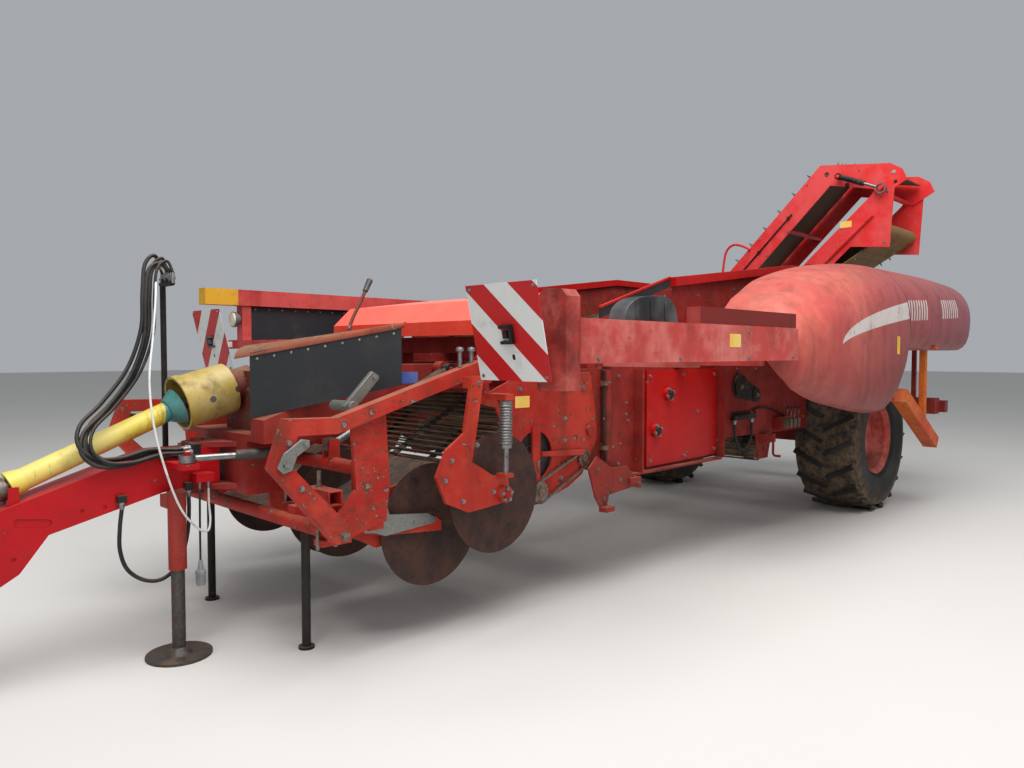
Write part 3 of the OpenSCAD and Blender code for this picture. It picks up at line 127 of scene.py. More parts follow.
class Finish:
    """One material: its node tree, its coordinates and the method that adds every node."""

    def __init__(self, name):
        self.material = bpy.data.materials.new(name)
        self.material.use_nodes = True
        self.tree = self.material.node_tree
        self.shader = self.tree.nodes["Principled BSDF"]
        self.place = self.add("ShaderNodeTexCoord", out="Object")
        self.x, self.y, self.z = self.split(self.place)
        self.up = self.split(self.add("ShaderNodeNewGeometry", out="Normal"))[2]

    def add(self, kind, settings=None, inputs=None, out=0):
        """Adds one node: its settings first, then the values or links of its sockets."""
        node = self.tree.nodes.new(kind)
        for key, value in (settings or {}).items():
            setattr(node, key, value)
        for key, value in (inputs or {}).items():
            if isinstance(value, Value):
                self.tree.links.new(value.socket, node.inputs[key])
            else:
                node.inputs[key].default_value = value
        return Value(self, node.outputs[out])

    def split(self, vector):
        """The x, y and z of a vector."""
        node = self.add("ShaderNodeSeparateXYZ", None, {0: vector}).socket.node
        return [Value(self, socket) for socket in node.outputs]

    def stretched(self, stretch):
        """The object's coordinates, scaled along each axis."""
        return self.add("ShaderNodeMapping", None, {"Vector": self.place, "Scale": stretch})

    def noise(self, scale, detail=4.0, rough=0.5, stretch=None):
        """Cloudy noise, drawn out where stretch is small."""
        where = self.stretched(stretch) if stretch else self.place
        inputs = {"Vector": where, "Scale": scale, "Detail": detail, "Roughness": rough}
        return self.add("ShaderNodeTexNoise", None, inputs)

    def cells(self, scale, feature="F1"):
        """Distances in a pattern of cells."""
        inputs = {"Vector": self.place, "Scale": scale}
        return self.add("ShaderNodeTexVoronoi", {"feature": feature}, inputs)

    def mix(self, factor, first, second):
        """Mixes two colours."""
        return self.add("ShaderNodeMix", {"data_type": "RGBA"}, {0: factor, 6: first, 7: second}, out=2)

    def away_from(self, x, z):
        """Distance from an axis that runs across the machine."""
        across = self.x - x
        along = self.z - z
        return (across * across + along * along).power(0.5)

    def bump(self, height, strength, distance):
        """A normal bent by a height."""
        inputs = {"Height": height, "Strength": strength, "Distance": distance}
        return self.add("ShaderNodeBump", None, inputs)

    def surface(self, **sockets):
        """Sets the shader's own sockets: links where they vary, numbers where they don't."""
        for key, value in sockets.items():
            socket = self.shader.inputs[SOCKETS.get(key, key.replace("_", " ").title())]
            if isinstance(value, Value):
                self.tree.links.new(value.socket, socket)
            else:
                socket.default_value = value
        return self.material


def any_of(masks):
    """The strongest of several masks at each place."""
    return reduce(Value.most, masks)


# Finishes

WHITE = (1.0, 1.0, 1.0, 1.0)
DUST = srgb(0.52, 0.43, 0.34)
SOIL = srgb(0.27, 0.19, 0.13)
RUST = srgb(0.36, 0.19, 0.11)
DARK = srgb(0.07, 0.06, 0.06)
STEEL = srgb(0.50, 0.48, 0.45)


def paint(name, colour, faded, wear, dirt, shine=0.38, marks=None):
    """Old machine paint: bleached patches, run-down dirt, dust on top, chips and rust."""
    f = Finish(name)
    patch = f.noise(1.7, 6.0, 0.6) * 0.65 + f.noise(11.0, 5.0, 0.6) * 0.35
    skin = f.mix(patch.between(0.40, 0.62), colour, faded)
    if marks:
        skin = marks(f, skin)
    runs = f.noise(7.0, 5.0, 0.6, (1.0, 1.0, 0.10)).between(0.50, 0.72)
    grime = (runs * 0.75 + f.noise(5.0, 8.0, 0.65).between(0.50, 0.75)) * dirt
    skin = f.mix(grime.least(0.85), skin, SOIL)
    dust = f.up.between(0.25, 0.95) * f.noise(3.5, 6.0, 0.7).between(0.25, 0.70) * (dirt * 1.3)
    skin = f.mix(dust.least(0.8), skin, DUST)
    scratch = f.noise(26.0, 6.0, 0.72, (0.25, 1.0, 1.0)) * 0.5 + f.noise(19.0, 9.0, 0.74) * 0.5
    chip = scratch.between(0.645 - 0.11 * wear, 0.665 - 0.11 * wear)
    halo = scratch.between(0.60 - 0.12 * wear, 0.66 - 0.11 * wear) * 0.4
    skin = f.mix(halo, skin, SOIL)
    metal = f.mix(f.noise(60.0, 3.0).between(0.42, 0.60), RUST, STEEL)
    skin = f.mix(chip, skin, metal)
    height = f.noise(90.0, 4.0) * 0.35 - chip * 0.6 + f.noise(14.0, 3.0) * 0.4
    rough = (shine + grime * 0.35 + dust * 0.5 + chip * 0.3 + f.noise(30.0, 4.0) * 0.12).least(0.95)
    return f.surface(base_color=skin, roughness=rough, specular=0.22, normal=f.bump(height, 0.25, 0.003))


def bare_steel(name, colour, rusty, amount, polish=0.35):
    """Bare or plated steel with rust spots, stains and fine scratches."""
    f = Finish(name)
    spots = f.noise(9.0, 9.0, 0.72)
    stain = spots.between(0.62 - 0.25 * amount, 0.72 - 0.15 * amount)
    fine = f.noise(70.0, 5.0, 0.7)
    darker = (*(0.6 * c for c in colour[:3]), 1.0)
    clean = f.mix(fine.between(0.35, 0.68), colour, darker)
    skin = f.mix(stain, clean, f.mix(f.noise(40.0, 5.0).between(0.4, 0.62), rusty, RUST))
    skin = f.mix(f.up.between(0.3, 1.0) * f.noise(6.0, 6.0).between(0.3, 0.7) * 0.5, skin, DUST)
    rough = (polish + stain * 0.45 + fine * 0.2).least(0.95)
    bump = f.bump(fine * 0.4 + stain * f.noise(120.0, 3.0) * 0.8, 0.35, 0.002)
    return f.surface(base_color=skin, roughness=rough, metallic=(1 - stain) * 0.85, normal=bump)


def zinc_plate(name):
    """Galvanised steel with its spangle and dull white bloom."""
    f = Finish(name)
    spangle = f.cells(140.0)
    tone = f.mix(spangle.between(0.1, 0.7), srgb(0.56, 0.57, 0.55), srgb(0.50, 0.50, 0.48))
    bloom = f.noise(8.0, 7.0, 0.65).between(0.5, 0.72)
    skin = f.mix(bloom * 0.6, tone, srgb(0.66, 0.65, 0.62))
    skin = f.mix(f.noise(13.0, 8.0, 0.7).between(0.62, 0.72) * 0.7, skin, RUST)
    rough = 0.42 + bloom * 0.3 + spangle * 0.12
    return f.surface(base_color=skin, roughness=rough, metallic=0.75, normal=f.bump(spangle, 0.08, 0.001))


def rubber(name, colour, dusty, grain=160.0):
    """Black rubber with grey dust, scuffs and fine pebbling."""
    f = Finish(name)
    scuff = f.noise(5.0, 8.0, 0.7).between(0.48, 0.70)
    skin = f.mix(scuff * dusty, colour, srgb(0.36, 0.34, 0.31))
    skin = f.mix(f.up.between(0.2, 0.9) * dusty, skin, DUST)
    fine = f.noise(grain, 3.0)
    rough = 0.55 + scuff * 0.25 + fine * 0.1
    return f.surface(base_color=skin, roughness=rough, normal=f.bump(fine + scuff * 0.5, 0.25, 0.002))


def tyre_rubber(name):
    """Tyre rubber, with dried soil between the lugs and dust on the walls."""
    f = Finish(name)
    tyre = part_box("tyre_left")
    middle_x = (tyre[0].x + tyre[1].x) / 2
    # The tyre stands on the ground, so its middle is as high as its outer radius
    outer = (tyre[0].z + tyre[1].z) / 2
    radius = f.away_from(middle_x, outer)
    deep = 1 - radius.between(outer - 0.035, outer - 0.008)
    soil = f.noise(16.0, 8.0, 0.7).between(0.35, 0.62) * deep * radius.between(0.45, 0.60)
    skin = f.mix(f.noise(4.0, 6.0).between(0.4, 0.7) * 0.5, DARK, srgb(0.22, 0.21, 0.20))
    skin = f.mix(soil * 0.85, skin, srgb(0.45, 0.36, 0.27))
    rings = (radius * 160.0).wrapped(1.0).between(0.3, 0.7) * (1 - radius.between(0.50, 0.56))
    height = f.noise(120.0, 3.0) * 0.4 + rings * 0.6 + soil
    return f.surface(base_color=skin, roughness=0.72 + soil * 0.2, normal=f.bump(height, 0.4, 0.003))


def plastic(name, colour, dirty, marks=None):
    """Moulded plastic with greasy dirt, scratches and a fine texture."""
    f = Finish(name)
    grime = f.noise(7.0, 8.0, 0.68).between(0.46, 0.72) * dirty
    skin = marks(f, colour) if marks else colour
    bleached = f.mix(0.35, skin, WHITE)
    skin = f.mix(f.noise(2.5, 4.0).between(0.35, 0.65) * 0.35, skin, bleached)
    skin = f.mix(grime, skin, srgb(0.16, 0.13, 0.08))
    scratch = f.noise(45.0, 5.0, 0.7, (1.0, 0.2, 0.2)).between(0.60, 0.66)
    skin = f.mix(scratch * 0.35, skin, DARK)
    rough = 0.38 + grime * 0.35 + f.noise(25.0, 4.0) * 0.15
    height = f.noise(150.0, 2.0) * 0.3 - scratch * 0.5
    return f.surface(base_color=skin, roughness=rough, normal=f.bump(height, 0.3, 0.002))


# The striped boards at the front corners lean forward from their lower edge
BOARD_SIZE, BOARD_LEAN = 0.423, math.radians(13)
BOARD_X, BOARD_Z = -2.150, 1.280


def striped_board(name):
    """Reflecting red and white bands that fall towards the outer lower corner of each front board."""
    f = Finish(name)
    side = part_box("warning_boards")[1].y - 0.005
    across = (abs(f.y) - (side - BOARD_SIZE)) / BOARD_SIZE
    height = (f.z - BOARD_Z) / (BOARD_SIZE * math.cos(BOARD_LEAN))
    band = (across + height - 0.19).wrapped(0.667)
    red = band.inside(0.10, 0.433, 0.004)
    cell = f.cells(260.0, "DISTANCE_TO_EDGE").between(0.0, 0.12)
    skin = f.mix(red, srgb(0.86, 0.87, 0.86), srgb(0.74, 0.07, 0.09))
    skin = f.mix((1 - cell) * 0.10, skin, DARK)
    dirt = f.noise(7.0, 7.0, 0.65).between(0.52, 0.75)
    skin = f.mix(dirt * 0.30, skin, SOIL)
    return f.surface(base_color=skin, roughness=0.32 + dirt * 0.3, normal=f.bump(cell, 0.05, 0.0005))


def web_steel(name, belt_places):
    """Web rods: steel rubbed brown by soil, with the black rubber belts under them."""
    f = Finish(name)
    belt = any_of(1 - abs(abs(f.y) - place).between(0.029, 0.031) for place in belt_places)
    fine = f.noise(35.0, 7.0, 0.7, (1.0, 0.15, 1.0))
    steel = f.mix(fine.between(0.35, 0.68), srgb(0.47, 0.40, 0.33), srgb(0.25, 0.17, 0.12))
    soil = f.noise(6.0, 8.0, 0.7).between(0.42, 0.70)
    steel = f.mix(soil * 0.7, steel, srgb(0.48, 0.38, 0.28))
    skin = f.mix(belt, steel, f.mix(soil * 0.5, srgb(0.10, 0.09, 0.08), DUST))
    metal = (1 - belt) * (1 - soil) * 0.5
    return f.surface(base_color=skin, roughness=0.55 + soil * 0.35, metallic=metal,
                     normal=f.bump(fine, 0.3, 0.002))


def disc_steel(name):
    """Cutting disc: blotchy rust with soil stains and rubbed, cleaner patches."""
    f = Finish(name)
    blotch = f.noise(7.0, 9.0, 0.72)
    rust = f.mix(blotch.between(0.35, 0.65), srgb(0.15, 0.085, 0.075), srgb(0.29, 0.155, 0.11))
    rust = f.mix(f.noise(30.0, 6.0, 0.7).between(0.5, 0.72) * 0.7, rust, srgb(0.13, 0.09, 0.085))
    clean = f.noise(4.0, 6.0, 0.6).between(0.58, 0.74)
    skin = f.mix(clean * 0.55, rust, srgb(0.21, 0.18, 0.17))
    height = blotch * 0.6 + f.noise(110.0, 4.0) * 0.4
    return f.surface(base_color=skin, roughness=0.75 - clean * 0.3, metallic=clean * 0.6,
                     normal=f.bump(height, 0.4, 0.002))


# Marks on the hoods: the leaning seam, the pale sweep that ends at it and the upright bars behind it
SEAM_X, SEAM_Z, SEAM_LEAN = 2.25, 1.41, 0.36
SWEEP_X, SWEEP_Z, SWEEP_LENGTH = 0.814, 1.454, 1.212
BARS_LOW, BARS_HIGH, BARS_PER_METRE = 1.655, 1.820, 16.0
HOOD_FACE_Y = 1.38


def cover_marks(f, skin):
    """Hood colours: salmon in front, dusty rose behind, painted shade towards the lower edge, with a pale
    sweep and upright bars.
    """
    skin = f.mix(f.x.between(0.7, 2.1), skin, srgb(0.64, 0.30, 0.30))
    skin = f.mix(f.x.between(2.0, 3.8) * 0.8, skin, srgb(0.58, 0.33, 0.36))
    # Painted shade: the hoods grow darker towards their lower edge
    skin = f.mix((1 - f.z.between(1.0, 1.75)) * 0.55, skin, srgb(0.34, 0.11, 0.11))
    streak = f.noise(9.0, 6.0, 0.6, (1.0, 1.0, 0.08)).between(0.45, 0.70)
    skin = f.mix(streak * 0.30, skin, srgb(0.42, 0.20, 0.19))
    side = abs(f.y).between(HOOD_FACE_Y - 0.02, HOOD_FACE_Y + 0.02)
    seam = SEAM_X - (f.z - SEAM_Z) * SEAM_LEAN
    run = ((f.x - SWEEP_X) / SWEEP_LENGTH).most(0.0001)
    top = SWEEP_Z + 0.341 * run.power(0.5)
    foot = SWEEP_Z + 0.207 * run.power(0.66)
    sweep = (f.z - foot).between(-0.003, 0.003) * (1 - (f.z - top).between(-0.003, 0.003))
    sweep = sweep * f.x.between(0.817, 0.823) * (1 - (f.x - seam).between(-0.010, -0.006))
    bars = (f.x * BARS_PER_METRE).wrapped(1.0).inside(0.0, 0.50, 0.03)
    rise = f.z - (f.x - 2.10) * 0.05
    bars = bars * rise.inside(BARS_LOW, BARS_HIGH, 0.004)
    first_group = (f.x - seam).between(0.010, 0.014) * (1 - f.x.between(2.595, 2.600))
    second_group = f.x.inside(2.98, 3.50, 0.005)
    bars = bars * first_group.most(second_group)
    pale = sweep.most(bars) * side
    worn = f.noise(22.0, 6.0, 0.6).between(0.26, 0.42)
    skin = f.mix(pale * worn, skin, srgb(0.82, 0.78, 0.76))
    gap = 1 - abs(f.x - seam).between(0.004, 0.008)
    return f.mix(gap, skin, DARK)


def cover_top_marks(f, skin):
    """Painted light: the intake cover's upward faces are painted paler, where light from above falls on
    them.
    """
    return f.mix(f.up.between(0.5, 0.95) * 0.45, skin, srgb(0.95, 0.62, 0.57))


def beam_marks(f, skin):
    """The left beam's darker top strip and its dirty front box."""
    strip = f.z.between(1.551, 1.555) * f.x.between(-1.002, -0.998)
    skin = f.mix(strip, skin, srgb(0.46, 0.14, 0.12))
    box = 1 - f.x.between(-1.974, -1.970)
    edge = f.noise(6.0, 8.0, 0.7).between(0.36, 0.62) * 0.6 + 0.25
    return f.mix(box * edge, skin, srgb(0.40, 0.15, 0.12))


def shaft_marks(f, skin):
    """The drive shaft's guard: a teal bell at the drum end of the yellow tube."""
    bell = f.x.between(-3.085, -3.080)
    return f.mix(bell, skin, srgb(0.26, 0.52, 0.50))


# Columns: x, z
DRAIN_HOLES = ((-2.889, 1.178), (-2.762, 1.223))


def drum_marks(f, skin):
    """Two drain holes in the drum guard's left side, drawn as near-black discs of painted shade."""
    holes = any_of(1 - f.away_from(x, z).between(0.015, 0.017) for x, z in DRAIN_HOLES)
    left = 1 - f.y.between(-0.005, 0.005)
    return f.mix(holes * left, skin, srgb(0.02, 0.02, 0.02))


def rail_marks(f, skin):
    """The far rail's front end is painted yellow and has faded."""
    end = (1 - f.x.between(-2.262, -2.258)) * f.z.between(1.698, 1.702)
    return f.mix(end, skin, srgb(0.82, 0.62, 0.18))


def lamp_glass(name):
    """Rear lamps: red, amber and clear fields behind ribbed lenses in black housings."""
    f = Finish(name)
    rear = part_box("lamps")[1].x
    place = abs(f.y)
    red = srgb(0.55, 0.03, 0.03)
    fields = f.mix(place.between(1.09, 1.092), srgb(0.75, 0.74, 0.72), red)
    fields = f.mix(place.between(1.25, 1.252), fields, srgb(0.80, 0.36, 0.04))
    lens = f.x.between(rear - 0.012, rear - 0.010)
    skin = f.mix(lens, srgb(0.05, 0.05, 0.05), fields)
    ribs = (f.z * 110.0).wrapped(1.0).between(0.2, 0.8)
    dust = f.noise(9.0, 6.0).between(0.45, 0.75)
    skin = f.mix(dust * 0.4, skin, DUST)
    return f.surface(base_color=skin, roughness=0.2 + dust * 0.4, normal=f.bump(ribs * lens, 0.3, 0.001))


PINK = srgb(0.80, 0.45, 0.42)

# Columns: colour, faded colour, wear, dirt, roughness, marks
PAINTS = {
    "drawbar_paint": (srgb(0.66, 0.05, 0.09), srgb(0.70, 0.07, 0.10), 0.30, 0.12, 0.33),
    "intake_paint": (srgb(0.64, 0.13, 0.095), srgb(0.70, 0.22, 0.17), 0.75, 0.50, 0.5),
    "carrier_paint": (srgb(0.68, 0.16, 0.11), srgb(0.74, 0.26, 0.19), 0.6, 0.35),
    "wall_paint": (srgb(0.50, 0.10, 0.09), srgb(0.57, 0.19, 0.16), 0.6, 0.55, 0.55),
    "frame_paint": (srgb(0.52, 0.11, 0.10), srgb(0.58, 0.20, 0.17), 0.5, 0.5, 0.5),
    "bright_paint": (srgb(0.66, 0.035, 0.035), srgb(0.70, 0.08, 0.07), 0.35, 0.14, 0.36),
    # The sheet's marks paint light on its upper faces
    "sheet_paint": (srgb(0.93, 0.26, 0.18), srgb(0.93, 0.34, 0.26), 0.2, 0.12, 0.4, cover_top_marks),
    "beam_paint": (srgb(0.72, 0.26, 0.24), PINK, 0.3, 0.35, 0.45, beam_marks),
    "rail_paint": (srgb(0.68, 0.17, 0.17), srgb(0.74, 0.30, 0.28), 0.35, 0.40, 0.5, rail_marks),
    "hood_paint": (srgb(0.76, 0.32, 0.30), srgb(0.82, 0.42, 0.36), 0.1, 0.25, 0.36, cover_marks),
    "boom_paint": (srgb(0.84, 0.17, 0.17), srgb(0.86, 0.30, 0.30), 0.30, 0.14, 0.38),
    "rim_paint": (srgb(0.66, 0.24, 0.20), PINK, 0.5, 0.5, 0.5),
    "black_paint": (srgb(0.07, 0.07, 0.075), srgb(0.16, 0.15, 0.15), 0.5, 0.35, 0.45),
    "flange_paint": (srgb(0.56, 0.24, 0.16), srgb(0.50, 0.27, 0.19), 0.8, 0.5, 0.6),
    "gear_paint": (srgb(0.44, 0.14, 0.12), srgb(0.40, 0.28, 0.22), 0.9, 0.7, 0.6),
    "bar_paint": (srgb(0.80, 0.42, 0.14), srgb(0.74, 0.24, 0.16), 0.5, 0.35, 0.5),
}

# Columns: colour, colour of its stains, how much is stained, roughness
STEELS = {
    "worn_steel": (srgb(0.55, 0.51, 0.47), srgb(0.38, 0.24, 0.17), 0.7),
    "grey_steel": (srgb(0.60, 0.60, 0.60), srgb(0.40, 0.30, 0.24), 0.3),
    "bright_rod": (srgb(0.58, 0.58, 0.58), srgb(0.42, 0.32, 0.25), 0.25, 0.26),
    "leg_steel": (srgb(0.36, 0.35, 0.34), srgb(0.30, 0.19, 0.13), 0.5, 0.5),
}

# How far the belts of each web lie from the machine's middle
WEBS = {
    "main_web_steel": (0.0, 0.78),
    "haulm_web_steel": (0.78,),
    "intake_web_steel": (0.0, 0.69),
}

# Columns: colour, dust, fineness of the grain
RUBBERS = {
    "sheet_rubber": (srgb(0.10, 0.11, 0.13), 0.22, 90.0),
    "hose_rubber": (srgb(0.05, 0.05, 0.06), 0.3),
    "wheel_rubber": (srgb(0.16, 0.15, 0.15), 0.6),
    "belt_rubber": (srgb(0.35, 0.27, 0.19), 0.7, 60.0),
    "tip_belt_rubber": (srgb(0.50, 0.38, 0.16), 0.6, 60.0),
    "finger_rubber": (srgb(0.55, 0.42, 0.16), 0.2),
}

# Columns: colour, dirt, marks
PLASTICS = {
    "guard_plastic": (srgb(0.84, 0.75, 0.25), 0.45, shaft_marks),
    "drum_plastic": (srgb(0.66, 0.55, 0.17), 0.75, drum_marks),
    "white_plastic": (srgb(0.82, 0.82, 0.80), 0.35),
    "black_plastic": (srgb(0.08, 0.08, 0.09), 0.2),
    "grey_plastic": (srgb(0.42, 0.44, 0.45), 0.3),
    "yellow_label": (srgb(0.90, 0.72, 0.20), 0.18),
    "blue_label": (srgb(0.12, 0.28, 0.62), 0.15),
    "pale_label": (srgb(0.82, 0.78, 0.68), 0.25),
}


def make_finishes():
    """Every material of the machine, by a plain name."""
    finishes = {}
    kinds = ((paint, PAINTS), (bare_steel, STEELS), (rubber, RUBBERS), (plastic, PLASTICS))
    for kind, table in kinds:
        for name, facts in table.items():
            finishes[name] = kind(name, *facts)
    for name, belt_places in WEBS.items():
        finishes[name] = web_steel(name, belt_places)
    for kind in (zinc_plate, disc_steel, tyre_rubber, striped_board, lamp_glass):
        finishes[kind.__name__] = kind(kind.__name__)
    return finishes


FINISHES = make_finishes()

# The CAD nodes that wear each finish
FINISH_NODES = {
    "wall_paint": "side_walls",
    "frame_paint": "front_frame rear_frame axle rear_guard jack_sleeve",
    "gear_paint": "gearbox",
    "drum_plastic": "drum_guard",
    "beam_paint": "left_beam",
    "rail_paint": "right_rail",
    "sheet_paint": "intake_cover",
    "sheet_rubber": "rubber_guards",
    "striped_board": "warning_boards",
    "bright_paint": "bearing_plates haulm_rails",
    "main_web_steel": "sieve_webs",
    "haulm_web_steel": "haulm_web",
    "intake_web_steel": "intake_web",
    "worn_steel": "roller_table hitch_ring drive_shaft shares",
    "hood_paint": "covers",
    "lamp_glass": "lamps",
    "drawbar_paint": "drawbar",
    "black_paint": "hose_holder lift_barrels leg_left leg_right boom_barrels tip_barrel",
    "leg_steel": "jack_leg steer_barrel",
    "guard_plastic": "drive_shaft_guard",
    "bright_rod": "steer_rod lift_rods boom_rods tip_rod",
    "intake_paint": "intake_frame",
    "carrier_paint": "disc_carriers",
    "grey_steel": "disc_springs",
    "disc_steel": "disc_front_left disc_front_middle disc_front_right disc_rear_left disc_rear_right",
    "wheel_rubber": "haulm_wheel_left haulm_wheel_right",
    "boom_paint": "boom_frame tip_frame",
    "belt_rubber": "boom_belt",
    "tip_belt_rubber": "tip_belt",
    "hose_rubber": "black_hose lamp_cable",
    "white_plastic": "white_cable",
    "grey_plastic": "lamp_plug",
    "tyre_rubber": "tyre_left tyre_right",
    "rim_paint": "rim_left rim_right",
}


# Meshes

def bridge(bm, first, second):
    """Faces between two rows of as many vertices."""
    for k in range(len(first) - 1):
        bm.faces.new((first[k], first[k + 1], second[k + 1], second[k]))


def cap_and_join(bm, rings):
    """Faces between closed rings, one after the other, and over both ends."""
    for first, second in zip(rings, rings[1:]):
        bridge(bm, first + first[:1], second + second[:1])
    bm.faces.new(rings[0][::-1])
    bm.faces.new(rings[-1])


def sweep_circle(bm, points, radius, sides):
    """A round tube along points, with its rings turned by the smallest angle from one to the next."""
    points = [Vector(p) for p in points]
    radii = radius if isinstance(radius, (list, tuple)) else [radius] * len(points)
    up = None
    rings = []
    for i, point in enumerate(points):
        ahead = points[min(i + 1, len(points) - 1)] - points[max(i - 1, 0)]
        ahead.normalize()
        if up is None:
            up = ahead.orthogonal().normalized()
        up = (up - ahead * up.dot(ahead)).normalized()
        side = ahead.cross(up)
        ring = []
        for k in range(sides):
            angle = 2 * math.pi * k / sides
            offset = (up * math.cos(angle) + side * math.sin(angle)) * radii[i]
            ring.append(bm.verts.new(point + offset))
        rings.append(ring)
    cap_and_join(bm, rings)


def add_box(bm, corner, opposite):
    """A box between two opposite corners, given in any order."""
    low = Vector(min(pair) for pair in zip(corner, opposite))
    high = Vector(max(pair) for pair in zip(corner, opposite))
    size = high - low
    middle = (low + high) / 2
    for v in bmesh.ops.create_cube(bm, size=1.0)["verts"]:
        v.co = Vector(v.co[i] * size[i] + middle[i] for i in range(3))


def add_slab(bm, outline, near, far):
    """A flat plate across the machine: its outline in x and z, and the y of its two faces."""
    cap_and_join(bm, [[bm.verts.new((x, y, z)) for x, z in outline] for y in (near, far)])


def add_plate_on(bm, middle, out, outline, thick):
    """A thin upright plate lying on a surface: its middle and the surface's outward direction."""
    out = Vector(out).normalized()
    across = Vector((0, 0, 1)).cross(out).normalized()
    rise = out.cross(across)
    middle = Vector(middle)
    rings = []
    for level in (0.0, thick):
        rings.append([bm.verts.new(middle + across * a + rise * b + out * level) for a, b in outline])
    cap_and_join(bm, rings)


PLATE_CORNER, CORNER_STEPS = 0.006, 4


def rounded_rectangle(width, height):
    """Outline of a plate with round corners, about its middle."""
    outline = []
    for turn, (a, b) in enumerate(((1, 1), (-1, 1), (-1, -1), (1, -1))):
        for k in range(CORNER_STEPS + 1):
            angle = math.radians(90 * turn + 90 * k / CORNER_STEPS)
            outline.append((a * (width / 2 - PLATE_CORNER) + PLATE_CORNER * math.cos(angle),
                            b * (height / 2 - PLATE_CORNER) + PLATE_CORNER * math.sin(angle)))
    return outline


def add_shell(bm, outer, inner):
    """A closed sheet: two grids of points, joined all round their edges."""
    grids = [[[bm.verts.new(p) for p in row] for row in grid] for grid in (outer, inner)]
    for grid in grids:
        for first, second in zip(grid, grid[1:]):
            bridge(bm, first, second)
    outer, inner = grids
    for end in (0, -1):
        bridge(bm, outer[end], inner[end])
        bridge(bm, [row[end] for row in outer], [row[end] for row in inner])


# A bolt's washer and its hexagon head, as shares of its size: radius, low, high; and sides
BOLT_PARTS = ((1.05, 0.00, 0.18, 20), (0.86, 0.18, 0.85, 6))


def add_bolt(bm, place, along, size):
    """A hexagon head on a washer, standing on place and pointing along."""
    turn = Vector((0, 0, 1)).rotation_difference(Vector(along).normalized()).to_matrix().to_4x4()
    seat = Matrix.Translation(Vector(place)) @ turn
    for radius, low, high, sides in BOLT_PARTS:
        made = bmesh.ops.create_cone(bm, cap_ends=True, segments=sides, radius1=size * radius,
                                     radius2=size * radius * 0.96, depth=size * (high - low))["verts"]
        bmesh.ops.translate(bm, verts=made, vec=(0, 0, size * (high + low) / 2))
        bmesh.ops.transform(bm, verts=made, matrix=seat)


def add_rivet(bm, place, out, size):
    """A domed rivet head."""
    out = Vector(out).normalized()
    place = Vector(place)
    line = [place + out * (size * d) for d in (0.0, 0.25, 0.5, 0.62)]
    sweep_circle(bm, line, [size, size * 0.92, size * 0.55, size * 0.15], 12)


def finish_piece(name, bm, body, finish, bevel=0.0, smooth_angle=40.0, replaces=()):
    """Turns a mesh into a piece: rounded edges, smooth faces, its material and body."""
    bmesh.ops.remove_doubles(bm, verts=bm.verts, dist=1e-6)
    bmesh.ops.recalc_face_normals(bm, faces=bm.faces)
    mesh = bpy.data.meshes.new(name)
    bm.to_mesh(mesh)
    bm.free()
    piece = bpy.data.objects.new(name, mesh)
    bpy.context.scene.collection.objects.link(piece)
    if bevel:
        rounded = piece.modifiers.new("edges", "BEVEL")
        rounded.width = bevel
        rounded.segments = 2
        rounded.limit_method = "ANGLE"
    mesh.polygons.foreach_set("use_smooth", [True] * len(mesh.polygons))
    mesh.set_sharp_from_angle(angle=math.radians(smooth_angle))
    mesh.materials.append(FINISHES[finish])
    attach(piece, body)
    if replaces:
        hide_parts(*replaces)
    return piece


# Hoses and cables

def blend(a, b, c, d, t):
    """A smooth line through four points or numbers, at the share t of the way from b to c."""
    return 0.5 * (2 * b + (c - a) * t + (2 * a - 5 * b + 4 * c - d) * t * t
                  + (3 * b - a - 3 * c + d) * t ** 3)


def smooth_route(points, steps):
    """The smooth line through given points, as the CAD source sweeps it."""
    points = [Vector(p) for p in points]
    last = len(points) - 1
    line = []
    for i in range(last):
        a, b, c, d = points[max(i - 1, 0)], points[i], points[i + 1], points[min(i + 2, last)]
        line += [blend(a, b, c, d, k / steps) for k in range(steps)]
    return line + [points[last]]


HOSE_ROUTE = (
    (-3.000, 0.100, 1.764), (-3.000, 0.100, 1.776), (-3.000, 0.100, 1.790), (-3.040, 0.092, 1.836),
    (-3.095, 0.070, 1.790), (-3.120, 0.040, 1.650), (-3.140, 0.010, 1.480), (-3.210, -0.010, 1.300),
    (-3.330, -0.040, 1.150), (-3.430, -0.080, 1.060), (-3.450, -0.115, 0.975), (-3.390, -0.125, 0.915),
    (-3.280, -0.122, 0.905), (-3.160, -0.122, 0.930), (-3.080, -0.118, 0.925), (-3.045, -0.118, 0.925),
    (-3.010, -0.118, 0.925),
)
CABLE_ROUTE = (
    (-3.000, 0.150, 1.764), (-3.000, 0.150, 1.776), (-3.000, 0.150, 1.790), (-3.030, 0.130, 1.820),
    (-3.075, 0.060, 1.780), (-3.110, -0.020, 1.650), (-3.150, -0.090, 1.480), (-3.195, -0.160, 1.280),
    (-3.200, -0.215, 1.080), (-3.165, -0.245, 0.880), (-3.105, -0.255, 0.700), (-3.030, -0.245, 0.600),
    (-2.965, -0.210, 0.565), (-2.930, -0.165, 0.600), (-2.925, -0.142, 0.680), (-2.925, -0.140, 0.750),
    (-2.925, -0.140, 0.775), (-2.925, -0.140, 0.790),
)
LAMP_ROUTE = (
    (-2.972, -0.150, 0.790), (-2.972, -0.150, 0.740), (-2.973, -0.150, 0.640), (-2.974, -0.151, 0.540),
    (-2.974, -0.151, 0.450), (-2.974, -0.151, 0.420),
)
JACK_LOOP_ROUTE = (
    (-3.306, -0.108, 0.735), (-3.306, -0.108, 0.700), (-3.316, -0.110, 0.620), (-3.318, -0.112, 0.520),
    (-3.290, -0.114, 0.430), (-3.225, -0.115, 0.370), (-3.150, -0.115, 0.352), (-3.085, -0.114, 0.385),
    (-3.040, -0.113, 0.460), (-3.015, -0.112, 0.560), (-3.008, -0.111, 0.660), (-3.008, -0.110, 0.720),
    (-3.008, -0.110, 0.755),
)
